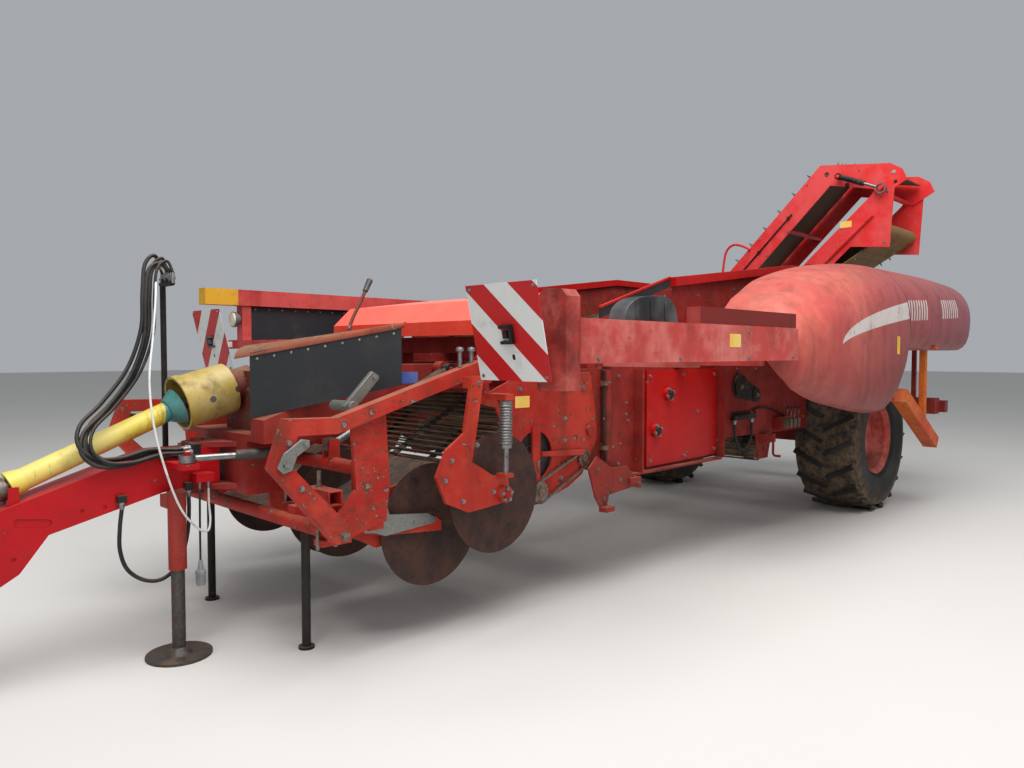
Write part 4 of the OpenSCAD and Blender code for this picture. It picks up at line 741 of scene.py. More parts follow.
SIDE_LOOP_ROUTE = (
    (0.700, -0.912, 0.905), (0.700, -0.912, 0.870), (0.705, -0.913, 0.800), (0.735, -0.914, 0.725),
    (0.790, -0.915, 0.680), (0.855, -0.915, 0.672), (0.915, -0.914, 0.705), (0.950, -0.913, 0.770),
    (0.960, -0.912, 0.840), (0.960, -0.912, 0.870), (0.960, -0.912, 0.905),
)

# Columns: name, start on the holder, port on the drawbar, shift of the run between, radius
BUNDLE = (
    ("bundle_hose_low", 0.072, (-0.146, 0.925), (-0.020, -0.016, -0.006), 0.009),
    ("bundle_hose_top", 0.125, (-0.118, 0.953), (0.008, 0.004, 0.022), 0.008),
    ("bundle_hose_outer", 0.178, (-0.146, 0.953), (-0.030, -0.008, 0.030), 0.009),
    ("bundle_hose_inner", 0.052, (-0.170, 0.939), (0.018, -0.026, 0.008), 0.007),
)


def bundle_route(start_y, port, shift):
    """A hose of the bundle: from its own coupling along the main hose to its own port."""
    run = [Vector(p) + Vector(shift) for p in HOSE_ROUTE[3:14]]
    rise = [(-3.000, start_y, z) for z in (1.756, 1.772, 1.790)]
    end = [(x, port[0], port[1]) for x in (-3.080, -3.045, -3.012)]
    return rise + run + end


FERRULE_LENGTH = 0.034


def add_ferrule(bm, at, toward, radius):
    """A hose's tapered end fitting with its hexagon nut."""
    at = Vector(at)
    ahead = (Vector(toward) - at).normalized()
    sweep_circle(bm, (at, at + ahead * 0.012), radius * 1.85, 6)
    stations = (0.010, 0.016, FERRULE_LENGTH * 0.7, FERRULE_LENGTH)
    line = [at + ahead * d for d in stations]
    sweep_circle(bm, line, [radius * 1.5, radius * 1.42, radius * 1.22, radius * 1.06], 20)


ROUTE_STEPS, HOSE_SIDES = 6, 14


def lay_cord(name, route, radius, body="drawbar", finish="hose_rubber", replaces=(), plug=None):
    line = smooth_route(route, ROUTE_STEPS)
    bm = bmesh.new()
    sweep_circle(bm, line, radius, HOSE_SIDES)
    hose = finish_piece(name, bm, body, finish, replaces=replaces)
    bm = bmesh.new()
    add_ferrule(bm, line[0], line[1], radius)
    if not plug:
        add_ferrule(bm, line[-1], line[-2], radius)
    fittings = finish_piece(name + "_fittings", bm, body, "grey_steel")
    length = sum((b - a).length for a, b in zip(line, line[1:]))


def add_lamp_plug(bm, at):
    """Round trailer plug with a ribbed grip, hanging from its cable."""
    x, y, z = at
    heights = (0.000, -0.012, -0.030, -0.046, -0.052, -0.070, -0.072, -0.080, -0.112, -0.120)
    radii = (0.0075, 0.010, 0.0125, 0.014, 0.0245, 0.0245, 0.022, 0.0215, 0.0215, 0.020)
    line = [(x, y, z + h) for h in heights]
    sweep_circle(bm, line, radii, 28)
    for k in range(12):
        angle = 2 * math.pi * k / 12
        rib = (x + 0.0215 * math.cos(angle), y + 0.0215 * math.sin(angle))
        sweep_circle(bm, ((*rib, z - 0.078), (*rib, z - 0.110)), 0.0016, 6)


def make_cords():
    """Every hose and cable, with its fittings."""
    lay_cord("black_hose_run", HOSE_ROUTE, 0.012, replaces=("black_hose",))
    lay_cord("white_cable_run", CABLE_ROUTE, 0.005, finish="white_plastic", replaces=("white_cable",))
    bm = bmesh.new()
    add_lamp_plug(bm, LAMP_ROUTE[-1])
    plug = finish_piece("lamp_plug_body", bm, "drawbar", "grey_plastic", replaces=("lamp_plug",))
    lay_cord("lamp_cable_run", LAMP_ROUTE, 0.005, replaces=("lamp_cable",), plug=plug)
    for name, start_y, port, shift, radius in BUNDLE:
        lay_cord(name, bundle_route(start_y, port, shift), radius)
    lay_cord("jack_loop", JACK_LOOP_ROUTE, 0.009)
    lay_cord("side_loop", SIDE_LOOP_ROUTE, 0.010, body="chassis")


def make_hose_blocks():
    """Couplings, ports and clamp blocks that the hoses go into."""
    bm = bmesh.new()
    for _, start_y, _, _, radius in BUNDLE:
        sweep_circle(bm, ((-3.000, start_y, 1.738), (-3.000, start_y, 1.757)), radius * 1.3, 16)
    finish_piece("hose_couplings", bm, "drawbar", "grey_steel")
    bm = bmesh.new()
    add_box(bm, (-3.012, -0.186, 0.900), (-2.978, -0.0955, 0.975))
    add_bolt(bm, (-2.978, -0.160, 0.912), (1, 0, 0), 0.008)
    add_bolt(bm, (-2.978, -0.110, 0.966), (1, 0, 0), 0.008)
    finish_piece("hose_ports", bm, "drawbar", "black_paint", 0.003)
    bm = bmesh.new()
    add_box(bm, (-3.325, -0.124, 0.733), (-3.287, -0.0952, 0.765))
    add_box(bm, (-3.028, -0.128, 0.753), (-2.992, -0.0952, 0.790))
    finish_piece("loop_clamps", bm, "drawbar", "black_paint", 0.003)
    bm = bmesh.new()
    add_box(bm, (0.670, -0.935, 0.903), (0.990, -0.8925, 0.935))
    add_box(bm, (0.690, -0.900, 0.930), (0.970, -0.8925, 0.960))
    finish_piece("side_loop_block", bm, "chassis", "black_paint", 0.003)


# Hood shells

# Columns: x, lower edge, top edge, how far the outer face lies inside the machine's side
HOOD_SECTIONS = (
    (0.100, 1.380, 1.560, 0.190), (0.160, 1.270, 1.660, 0.090), (0.300, 1.170, 1.770, 0.035),
    (0.600, 1.080, 1.910, 0.005), (0.950, 1.020, 2.000, 0.000), (1.300, 0.970, 2.065, 0.000),
    (1.600, 0.945, 2.105, 0.000), (1.820, 0.945, 2.125, 0.000), (2.000, 1.040, 2.130, 0.000),
    (2.130, 1.180, 2.130, 0.000), (2.240, 1.425, 2.130, 0.000), (3.200, 1.425, 2.130, 0.000),
    (3.900, 1.430, 2.110, 0.010), (4.000, 1.450, 2.080, 0.040),
)
HOOD_SIDE_Y = 1.650
HOOD_INNER_Y = 1.090
HOOD_STEPS = 24
# The rounded top and the rolled-in lower edge: greatest size, and share of the section's height
HOOD_ROUND, HOOD_ROUND_SHARE = 0.42, 0.60
HOOD_ROLL, HOOD_ROLL_SHARE = 0.26, 0.35
# Points of the rolled-in edge, as shares of its size: how far in, how far up
HOOD_TUCK = ((0.42, 0.00), (0.26, 0.10), (0.13, 0.28), (0.05, 0.55), (0.01, 0.85))


def hood_row(row, inset):
    """One section of a hood from its lower edge up and over to its inner top edge."""
    x, low, top, aside = row
    top -= inset
    outer = HOOD_SIDE_Y - aside - inset
    round_height = min(HOOD_ROUND, (top - low) * HOOD_ROUND_SHARE)
    roll = min(HOOD_ROLL, (top - low) * HOOD_ROLL_SHARE)
    line = [(x, outer - roll * inward, low + roll * rise) for inward, rise in HOOD_TUCK]
    for i in range(HOOD_STEPS + 1):
        angle = math.radians(90 * i / HOOD_STEPS)
        y = HOOD_INNER_Y + (outer - HOOD_INNER_Y) * max(math.cos(angle), 0.0) ** 0.75
        line.append((x, y, top - round_height + round_height * math.sin(angle) ** 0.85))
    return line


def hood_rows(steps):
    """Sections with smooth ones between them, never outside the given ones' range."""
    rows = []
    last = len(HOOD_SECTIONS) - 1
    for i in range(last):
        four = [HOOD_SECTIONS[j] for j in (max(i - 1, 0), i, i + 1, min(i + 2, last))]
        for k in range(steps):
            t = k / steps
            # The first column, x, runs evenly from one section to the next
            row = [four[1][0] + (four[2][0] - four[1][0]) * t]
            for a, b, c, d in list(zip(*four))[1:]:
                row.append(min(max(blend(a, b, c, d, t), min(b, c)), max(b, c)))
            rows.append(row)
    return rows + [HOOD_SECTIONS[last]]


def make_hoods(thickness):
    """The rounded side hoods as smooth shells with a rolled lower edge."""
    rows = hood_rows(5)
    bm = bmesh.new()
    for side in (-1, 1):
        faces = []
        for inset in (0.0, thickness):
            faces.append([[(x, side * y, z) for x, y, z in hood_row(row, inset)] for row in rows])
        add_shell(bm, *faces)
        rolled = [(x, y - side * 0.004, z + 0.004) for x, y, z in (line[0] for line in faces[0][1:])]
        sweep_circle(bm, rolled, 0.007, 8)
    finish_piece("hood_shells", bm, "chassis", "hood_paint", smooth_angle=50.0, replaces=("covers",))


# The guard bar's outline in x and z, and the x and lower end of its hangers
GUARD_BAR = ((2.100, 1.010), (2.100, 1.095), (2.420, 1.100), (3.290, 0.625), (3.240, 0.530), (2.400, 0.985))
HANGERS = ((2.180, 1.090), (2.950, 0.800))


def make_side_bars():
    """Slanting guard bars under the hoods, with their hangers."""
    bm = bmesh.new()
    for side in (-1, 1):
        add_slab(bm, GUARD_BAR, side * 1.560, side * 1.440)
        for x, low in HANGERS:
            add_box(bm, (x, side * 1.535, low), (x + 0.050, side * 1.480, 1.440))
            add_box(bm, (x, side * 1.622, 1.430), (x + 0.050, side * 1.480, 1.455))
    finish_piece("hood_guard_bars", bm, "chassis", "bar_paint", 0.006)


# Bolts, rivets and bare plates

# The upper edge of the elevator's boom starts here and rises at 45 degrees
BOOM_FOOT_Y, BOOM_FOOT_Z, BOOM_SLOPE = 1.315, 1.441, 0.7071


def boom_point(x, along, depth):
    """A point on the elevator's boom: along it from its foot, and down from its upper edge."""
    return (x, BOOM_FOOT_Y - BOOM_SLOPE * along - BOOM_SLOPE * depth,
            BOOM_FOOT_Z + BOOM_SLOPE * along - BOOM_SLOPE * depth)


def ring_of(middle, radius, count):
    """Places on a circle about a shaft that runs across the machine."""
    x, y, z = middle
    angles = [2 * math.pi * (k + 0.25) / count for k in range(count)]
    return [(x + radius * math.cos(a), y, z + radius * math.sin(a)) for a in angles]


def at_y(y, *places):
    """Places on a plate across the machine, from their x and z."""
    return [(x, y, z) for x, z in places]


def on_boom(x, depth, *distances):
    """Places on one side of the boom, at one depth below its upper edge."""
    return [boom_point(x, along, depth) for along in distances]


BOOM_EDGE_BOLTS = (0.25, 0.95, 1.65, 2.35)

# Columns: name, body, outward direction, size, both hands, places
BOLTS = (
    ("wall_bolts", "chassis", (0, -1, 0), 0.011, True, at_y(
        -0.892, (-0.98, 1.26), (-0.98, 1.05), (-0.70, 1.26), (-0.70, 0.72), (-0.62, 1.02), (-0.60, 0.98),
        (-0.48, 1.27), (0.56, 1.22), (0.56, 0.86), (0.76, 1.28), (1.05, 1.28), (1.35, 1.28), (1.65, 1.25),
        (1.90, 1.22), (1.90, 0.86), (2.12, 1.40), (2.12, 1.90), (-0.70, 1.58), (-0.30, 1.70), (0.20, 1.80),
        (0.70, 1.87))),
    ("plate_bolts", "chassis", (0, -1, 0), 0.012, True, at_y(
        -0.910, (-0.385, 0.71), (-0.385, 1.25), (0.405, 0.72), (0.405, 1.25), (0.0, 1.26), (0.02, 0.705),
        (0.18, 1.00))
        + ring_of((-0.19, -0.936, 1.13), 0.034, 4) + ring_of((-0.33, -0.936, 0.90), 0.034, 4)),
    ("intake_bolts", "intake", (0, -1, 0), 0.012, True, at_y(
        -0.908, (-1.872, 1.19), (-1.872, 1.25), (-1.872, 1.345), (-1.58, 1.21), (-1.20, 1.23),
        (-1.06, 1.20), (-1.60, 0.92), (-1.25, 0.70), (-1.42, 0.615), (-1.02, 0.80))
        + at_y(-0.960, (-2.70, 1.095), (-2.955, 1.04), (-2.90, 0.85), (-2.70, 0.62), (-1.90, 1.335))),
    ("carrier_bolts", "intake", (0, -1, 0), 0.012, True, at_y(
        -1.040, (-2.17, 0.90), (-2.21, 0.81), (-2.01, 0.96), (-1.995, 1.255), (-1.90, 0.72), (-2.10, 0.70))
        + ring_of((-1.832, -1.065, 0.70), 0.030, 5)),
    ("gearbox_bolts", "chassis", (0, -1, 0), 0.010, True, ring_of((-2.54, -0.230, 1.16), 0.072, 8)),
    ("ring_bolts", "drawbar", (-1, 0, 0), 0.017, True, [(-4.100, 0.062, 0.395), (-4.100, 0.062, 0.525)]),
    ("boom_bolts", "boom", (-1, 0, 0), 0.011, False,
     on_boom(3.100, 0.205, 0.30, 0.62, 0.94, 1.26, 1.58, 1.90) + on_boom(3.100, 0.028, *BOOM_EDGE_BOLTS)),
    ("boom_rear_bolts", "boom", (1, 0, 0), 0.011, False,
     on_boom(3.900, 0.205, 0.30, 0.94, 1.58, 1.90) + on_boom(3.900, 0.028, *BOOM_EDGE_BOLTS)),
    ("tip_bolts", "tip", (-1, 0, 0), 0.010, False, [(3.084, y, z) for y, z in (
        (-0.25, 2.04), (-0.32, 2.14), (-0.78, 2.47), (-1.12, 2.44), (-1.14, 2.90), (-0.72, 2.60))]),
    ("beam_bolts", "chassis", (0, -1, 0), 0.010, False,
     at_y(-1.650, (-1.85, 1.375), (-1.2, 1.375), (-0.5, 1.375), (0.05, 1.375))),
    ("guard_bolts", "chassis", (1, 0, 0), 0.012, True,
     [(4.260, y, z) for y in (0.50, 0.92) for z in (0.82, 0.88)]),
    ("left_wheel_nuts", "wheel_left", (0, -1, 0), 0.016, False, ring_of((2.650, -1.070, 0.640), 0.150, 8)),
    ("right_wheel_nuts", "wheel_right", (0, 1, 0), 0.016, False, ring_of((2.650, 1.070, 0.640), 0.150, 8)),
)


def make_bolts():
    """All bolt heads that show, one piece for each group."""
    for name, body, out, size, both, places in BOLTS:
        bm = bmesh.new()
        for x, y, z in places:
            add_bolt(bm, (x, y, z), out, size)
            if both:
                add_bolt(bm, (x, -y, z), (out[0], -out[1], out[2]), size)
        finish_piece(name, bm, body, "grey_steel")


# Columns: name, body, finish, outward direction, middle, width, height
LABELS = (
    ("blue_plate", "chassis", "blue_label", (0, -1, 0), (-1.960, -0.4550, 1.268), 0.110, 0.062),
    ("cover_plate", "chassis", "yellow_label", (0, -1, 0), (-1.460, -0.7000, 1.610), 0.150, 0.100),
    ("intake_plate", "intake", "yellow_label", (0, -1, 0), (-1.560, -0.9080, 1.140), 0.110, 0.062),
    ("beam_plate", "chassis", "yellow_label", (0, -1, 0), (-0.655, -1.6500, 1.468), 0.120, 0.072),
    ("hood_plate", "chassis", "yellow_label", (0, -1, 0), (1.900, -1.6500, 1.460), 0.060, 0.140),
    ("tip_plate", "tip", "yellow_label", (-1, 0, 0), (3.084, -0.760, 2.640), 0.110, 0.060),
)


def make_labels():
    """Bare plates where the machine carries its signs."""
    for name, body, finish, out, middle, width, height in LABELS:
        bm = bmesh.new()
        add_plate_on(bm, middle, out, rounded_rectangle(width, height), 0.0012)
        finish_piece(name, bm, body, finish)


def board_point(side, y, height, out=0.0):
    """A point on a striped board: distance from the machine's middle, up the board and before it."""
    return (BOARD_X - height * math.sin(BOARD_LEAN) - out * math.cos(BOARD_LEAN), side * y,
            BOARD_Z + height * math.cos(BOARD_LEAN) - out * math.sin(BOARD_LEAN))


# Pieces of the lamp bracket, between two distances from the middle and two heights
BRACKET_PIECES = (
    ((1.475, 0.165), (1.405, 0.178)), ((1.475, 0.178), (1.462, 0.245)),
    ((1.475, 0.232), (1.405, 0.245)), ((1.450, 0.190), (1.425, 0.222)),
)
BRACKET_DEPTH = 0.022


def make_board_fittings():
    """Corner screws and the empty lamp bracket of each striped board."""
    out = (-math.cos(BOARD_LEAN), 0, -math.sin(BOARD_LEAN))
    screws, brackets = bmesh.new(), bmesh.new()
    for side in (-1, 1):
        for y in (1.627, 1.245):
            for height in (0.020, 0.403):
                add_bolt(screws, board_point(side, y, height), out, 0.008)
        for (outer, low), (inner, high) in BRACKET_PIECES:
            for v in bmesh.ops.create_cube(brackets, size=1.0)["verts"]:
                y = inner if v.co.x > 0 else outer
                height = high if v.co.z > 0 else low
                v.co = board_point(side, y, height, BRACKET_DEPTH if v.co.y > 0 else 0.0)
        window = rounded_rectangle(0.016, 0.024)
        add_plate_on(brackets, board_point(side, 1.452, 0.105), out, window, 0.001)
    finish_piece("board_screws", screws, "chassis", "grey_steel")
    finish_piece("board_brackets", brackets, "chassis", "black_plastic", 0.002)


# Intake and front

# The left rubber sheet's top edge starts at SHEET_START and rises towards SHEET_END
SHEET_START, SHEET_END = Vector((-2.800, -0.330, 0)), Vector((-2.310, -0.850, 0))
SHEET_TOP_Z, SHEET_RISE, SHEET_FRONT = 1.400, 0.130, 0.008


def sheet_point(t, height, out):
    """A point near the left rubber sheet: along its top edge, above that edge, and in front of it."""
    along = (SHEET_END - SHEET_START).normalized()
    outward = Vector((along.y, -along.x, 0))
    place = SHEET_START + (SHEET_END - SHEET_START) * t + outward * (out + SHEET_FRONT)
    return Vector((place.x, place.y, SHEET_TOP_Z + SHEET_RISE * t + height))


# The flange's section: how far in front of the sheet, how far above its edge
FLANGE_PROFILE = ((0.006, -0.012), (0.006, 0.002), (-0.004, 0.010), (-0.028, 0.013), (-0.055, 0.014))
FLANGE_STEPS = 18
FLANGE_THICK = 0.004


def make_sheet_flange():
    """The rusty plate that the left rubber sheet is riveted to."""
    upper = []
    for i in range(FLANGE_STEPS + 1):
        t = -0.10 + 1.12 * i / FLANGE_STEPS
        swell = max(0.0, 1.0 - t) ** 1.4
        row = []
        for j, (out, up) in enumerate(FLANGE_PROFILE):
            share = j / (len(FLANGE_PROFILE) - 1)
            row.append(sheet_point(t, up + swell * 0.030 * share, out - swell * 0.060 * share))
        upper.append(row)
    bm = bmesh.new()
    add_shell(bm, upper, [[point - Vector((0, 0, FLANGE_THICK)) for point in row] for row in upper])
    finish_piece("sheet_flange", bm, "chassis", "flange_paint", smooth_angle=60.0)


def make_sheet_rivets():
    """The rivets that hold the left sheet and the right one."""
    bm = bmesh.new()
    outward = sheet_point(0, 0, 1) - sheet_point(0, 0, 0)
    for k in range(9):
        add_rivet(bm, sheet_point(0.05 + 0.9 * k / 8, -0.034, 0.0), outward, 0.0075)
    for k in range(8):
        add_rivet(bm, (-2.130 + 0.095 * k, 0.935, 1.680), (0, -1, 0), 0.0075)
    finish_piece("sheet_rivets", bm, "chassis", "grey_steel")


# Outlines in x and z
LEVER = (
    (-2.640, 1.168), (-2.618, 1.142), (-2.585, 1.150), (-2.452, 1.285), (-2.456, 1.300), (-2.490, 1.318),
)
LATCH_LINK = (
    (-3.012, 0.945), (-2.985, 1.000), (-2.905, 1.052), (-2.868, 1.046), (-2.868, 1.018), (-2.925, 0.985),
    (-2.948, 0.930), (-2.985, 0.920),
)
SCRAPER = (
    (-2.535, 0.590), (-2.525, 0.640), (-2.440, 0.722), (-2.405, 0.690), (-2.395, 0.655), (-2.170, 0.628),
    (-2.120, 0.600), (-2.120, 0.575), (-2.420, 0.558), (-2.470, 0.580),
)


def make_intake_fittings():
    """Galvanised lever and tube, latch link, scraper plates, hub caps and adjusting bolts."""
    zinc, steel, red = bmesh.new(), bmesh.new(), bmesh.new()
    for side in (-1, 1):
        out = (0, side, 0)
        add_slab(zinc, LEVER, side * 0.872, side * 0.848)
        sweep_circle(zinc, ((-2.605, side * 0.735, 1.166), (-2.605, side * 0.899, 1.166)), 0.024, 24)
        add_bolt(steel, (-2.480, side * 0.872, 1.290), out, 0.011)
        add_bolt(steel, (-2.605, side * 0.735, 1.166), (0, -side, 0), 0.020)
        add_slab(zinc, LATCH_LINK, side * 0.974, side * 0.9605)
        add_bolt(steel, (-2.975, side * 0.974, 0.955), out, 0.014)
        add_bolt(steel, (-2.888, side * 0.974, 1.032), out, 0.012)
        add_slab(zinc, SCRAPER, side * 0.8645, side * 0.8582)
        for x, z in ((-2.470, 0.625), (-2.430, 0.690), (-2.250, 0.595)):
            add_bolt(steel, (x, side * 0.8645, z), out, 0.010)
        cap = [(-1.832, side * y, 0.700) for y in (1.0652, 1.072, 1.078, 1.080)]
        sweep_circle(red, cap, [0.020, 0.020, 0.015, 0.004], 20)
        for x in (-2.020, -1.945):
            sweep_circle(steel, ((x, side * 0.930, 1.330), (x, side * 0.930, 1.410)), 0.010, 12)
            head = [(x, side * 0.930, z) for z in (1.408, 1.416, 1.426, 1.430)]
            sweep_circle(steel, head, [0.019, 0.021, 0.016, 0.005], 14)
    finish_piece("intake_zinc_parts", zinc, "intake", "zinc_plate", 0.002)
    finish_piece("intake_steel_bolts", steel, "intake", "grey_steel")
    finish_piece("disc_hub_caps", red, "intake", "bright_paint")


# The clamps' x, and how far their bolts and their adjusting screw lie from the machine's middle
CLAMP_X, CLAMP_Y, SCREW_Y = -2.700, 0.820, 0.760
# The square tube's middle height and its half widths outside and inside
TUBE_Z, TUBE_OUTER, TUBE_INNER = 0.774, 0.034, 0.027


def make_tube_clamps():
    """Clamps with a square tube and an adjusting screw on the ends of the intake's lower tube."""
    red, steel = bmesh.new(), bmesh.new()
    big, small = TUBE_OUTER, TUBE_INNER
    walls = ((-big, big, small, big), (-big, big, -big, -small), (-big, -small, -small, small),
             (small, big, -small, small))
    for side in (-1, 1):
        out = (0, side, 0)
        add_box(red, (-2.760, side * 0.865, 0.655), (-2.640, side * 0.775, 0.740))
        add_box(red, (-2.745, side * 0.855, 0.560), (-2.655, side * 0.785, 0.588))
        for x in (-2.745, -2.655):
            sweep_circle(steel, ((x, side * CLAMP_Y, 0.545), (x, side * CLAMP_Y, 0.752)), 0.009, 10)
            add_bolt(steel, (x, side * CLAMP_Y, 0.740), (0, 0, 1), 0.013)
        for x0, x1, z0, z1 in walls:
            near = (CLAMP_X + x0, side * 0.895, TUBE_Z + z0)
            add_box(red, near, (CLAMP_X + x1, side * 0.700, TUBE_Z + z1))
        screw = ((CLAMP_X, side * SCREW_Y, 0.806), (CLAMP_X, side * SCREW_Y, 0.880))
        sweep_circle(steel, screw, 0.010, 12)
        add_bolt(steel, (CLAMP_X, side * SCREW_Y, 0.808), (0, 0, 1), 0.016)
        sweep_circle(steel, ((CLAMP_X, side * 0.901, 0.620), (CLAMP_X, side * 0.962, 0.620)), 0.020, 20)
        add_bolt(steel, (CLAMP_X, side * 0.960, 0.620), out, 0.022)
    finish_piece("tube_clamps", red, "intake", "intake_paint", 0.004)
    finish_piece("tube_clamp_screws", steel, "intake", "worn_steel")


def add_sprocket(bm, middle, radius, teeth, near, far):
    """A chain wheel with its teeth, about an axis across the machine."""
    outline = []
    for k in range(teeth * 2):
        angle = math.pi * k / teeth
        r = radius + (0.006 if k % 2 else -0.005)
        outline.append((middle[0] + r * math.cos(angle), middle[1] + r * math.sin(angle)))
    add_slab(bm, outline, near, far)


def chain_loop(a, b, ra, rb, count):
    """Link places round two chain wheels: each link's middle in x and z, and its direction."""
    a, b = Vector(a), Vector(b)
    along = (b - a).normalized()
    side = Vector((-along.y, along.x))
    length = (b - a).length
    lap_a, lap_b = math.pi * ra, math.pi * rb
    total = 2 * length + lap_a + lap_b
    places = []
    for k in range(count):
        s = total * k / count
        # Up to wheel b, round it, back to wheel a, and round that
        if s < length:
            places.append((a + along * s + side * (ra + (rb - ra) * s / length), along))
        elif s < length + lap_b:
            turn = (s - length) / rb
            n = side * math.cos(turn) + along * math.sin(turn)
            places.append((b + n * rb, along * math.cos(turn) - side * math.sin(turn)))
        elif s < 2 * length + lap_b:
            q = s - length - lap_b
            places.append((b - along * q - side * (rb + (ra - rb) * q / length), -along))
        else:
            turn = (s - 2 * length - lap_b) / ra
            n = -side * math.cos(turn) - along * math.sin(turn)
            places.append((a + n * ra, -along * math.cos(turn) + side * math.sin(turn)))
    return places


# A link plate's outline, as shares of its half length and half height
LINK = ((1, 0.5), (1, -0.5), (0.5, -1), (-0.5, -1), (-1, -0.5), (-1, 0.5), (-0.5, 1), (0.5, 1))
LINK_LONG, LINK_HIGH = 0.009, 0.0055
LINK_COUNT = 62


def make_chain_drive():
    """The chain that drives the intake web, outside the left plate, on its two wheels."""
    a, b, ra, rb = (-1.430, 0.640), (-1.060, 0.790), 0.058, 0.046
    bm = bmesh.new()
    add_sprocket(bm, a, ra, 14, -0.925, -0.918)
    add_sprocket(bm, b, rb, 11, -0.925, -0.918)
    for (x, z), r in ((a, 0.022), (b, 0.020)):
        sweep_circle(bm, ((x, -0.908, z), (x, -0.936, z)), r, 18)
    for place, ahead in chain_loop(a, b, ra, rb, LINK_COUNT):
        across = Vector((-ahead.y, ahead.x))
        outline = [place + ahead * u * LINK_LONG + across * v * LINK_HIGH for u, v in LINK]
        for near, far in ((-0.930, -0.927), (-0.916, -0.913)):
            add_slab(bm, outline, near, far)
        sweep_circle(bm, ((place.x, -0.929, place.y), (place.x, -0.914, place.y)), 0.004, 6)
    finish_piece("intake_chain", bm, "intake", "worn_steel")


LEVER_ROUTE = (
    (-2.330, -0.395, 1.240), (-2.300, -0.375, 1.400), (-2.260, -0.350, 1.546), (-2.180, -0.322, 1.665),
    (-2.125, -0.302, 1.748),
)


def make_deck_lever():
    """The bent lever that stands on the deck, with its grip."""
    bm = bmesh.new()
    sweep_circle(bm, smooth_route(LEVER_ROUTE, 4), 0.009, 10)
    finish_piece("deck_lever", bm, "chassis", "gear_paint")
    bm = bmesh.new()
    sweep_circle(bm, ((-2.140, -0.3075, 1.726), (-2.095, -0.290, 1.790)), [0.014, 0.017], 12)
    finish_piece("deck_lever_grip", bm, "chassis", "black_plastic", 0.003)


LAMP_Y, LAMP_Z = 0.945, 1.612


def make_front_lamp():
    """The round lamp at the right rail's front end."""
    bm = bmesh.new()
    sweep_circle(bm, [(x, LAMP_Y, LAMP_Z) for x in (-2.236, -2.262, -2.280)], [0.030, 0.048, 0.050], 24)
    sweep_circle(bm, ((-2.225, LAMP_Y, LAMP_Z), (-2.240, LAMP_Y, LAMP_Z)), 0.018, 12)
    finish_piece("front_lamp_shell", bm, "chassis", "black_plastic", 0.002)
    bm = bmesh.new()
    sweep_circle(bm, [(x, LAMP_Y, LAMP_Z) for x in (-2.279, -2.288, -2.292)], [0.046, 0.040, 0.010], 24)
    finish_piece("front_lamp_glass", bm, "chassis", "pale_label")


# The cover's middle, half length, foot and height
COVER_X, COVER_HALF, COVER_Z, COVER_HIGH = -1.385, 0.225, 1.5505, 0.125


def make_beam_cover():
    """The moulded black cover on the left beam, with three ribs on its outer side."""
    outline = []
    for k in range(25):
        u = k / 12 - 1
        rise = COVER_HIGH * (1 - abs(u) ** 3) ** 0.5 * (1 + 0.15 * u)
        outline.append((COVER_X + COVER_HALF * u, COVER_Z + rise))
    bm = bmesh.new()
    add_slab(bm, outline, -1.610, -1.515)
    for x in (-1.520, -1.400, -1.280):
        add_box(bm, (x, -1.6145, 1.560), (x + 0.022, -1.609, 1.650))
    finish_piece("beam_cover", bm, "chassis", "black_plastic", 0.008)


STRIP_EDGE = ((-0.880, 1.6645), (-0.140, 1.8905), (-0.140, 1.906), (-0.880, 1.680))


def make_strip_edges():
    """The bright strips on the walls' upper edges, ahead of the haulm rails."""
    bm = bmesh.new()
    for side in (-1, 1):
        add_slab(bm, STRIP_EDGE, side * 0.898, side * 0.878)
    finish_piece("strip_edges", bm, "chassis", "bright_paint", 0.002)


# Sides

# The left wall's outer face
WALL_Y = -0.8925

LOWER_BRACKET = (
    (-1.070, 0.735), (-1.005, 0.560), (-0.946, 0.480), (-0.905, 0.480), (-0.880, 0.560), (-0.640, 0.580),
    (-0.560, 0.560), (-0.545, 0.590), (-0.620, 0.640), (-0.700, 0.712), (-0.860, 0.720), (-0.990, 0.800),
)


def add_lower_bracket(red, steel):
    """The bracket under the channel's front end, with its foot, pad and bolts."""
    add_slab(red, LOWER_BRACKET, -0.966, -0.9523)
    add_box(red, (-0.960, -1.010, 0.470), (-0.880, -0.9525, 0.500))
    add_box(red, (-0.690, -0.985, 0.600), (-0.580, -0.966, 0.640))
    for place in ((-0.930, -0.966, 0.545), (-0.780, -0.966, 0.640), (-0.610, -0.985, 0.600),
                  (-0.990, -0.966, 0.720)):
        add_bolt(steel, place, (0, -1, 0), 0.014)


# Columns: x, z, radius of the pulley, radius of the belt, the angle where the belt meets it, steps
PULLEYS = ((0.770, 1.150, 0.088, 0.085, 85, 19), (1.010, 1.080, 0.056, 0.053, -95, 17))


def add_belt_drive(dark, steel):
    """Two grooved pulleys, with their belt drawn as one flat plate."""
    belt = []
    for x, z, radius, belt_radius, start, steps in PULLEYS:
        sweep_circle(dark, ((x, WALL_Y, z), (x, -0.905, z)), radius * 0.55, 24)
        grooved = [(x, y, z) for y in (-0.905, -0.911, -0.917, -0.923, -0.929)]
        sweep_circle(dark, grooved, [radius * share for share in (1, 0.90, 0.88, 0.90, 1)], 32)
        add_bolt(steel, (x, -0.929, z), (0, -1, 0), 0.016)
        for k in range(steps):
            angle = math.radians(start + 10 * k)
            belt.append((x + belt_radius * math.cos(angle), z + belt_radius * math.sin(angle)))
    add_slab(dark, belt, -0.920, -0.912)


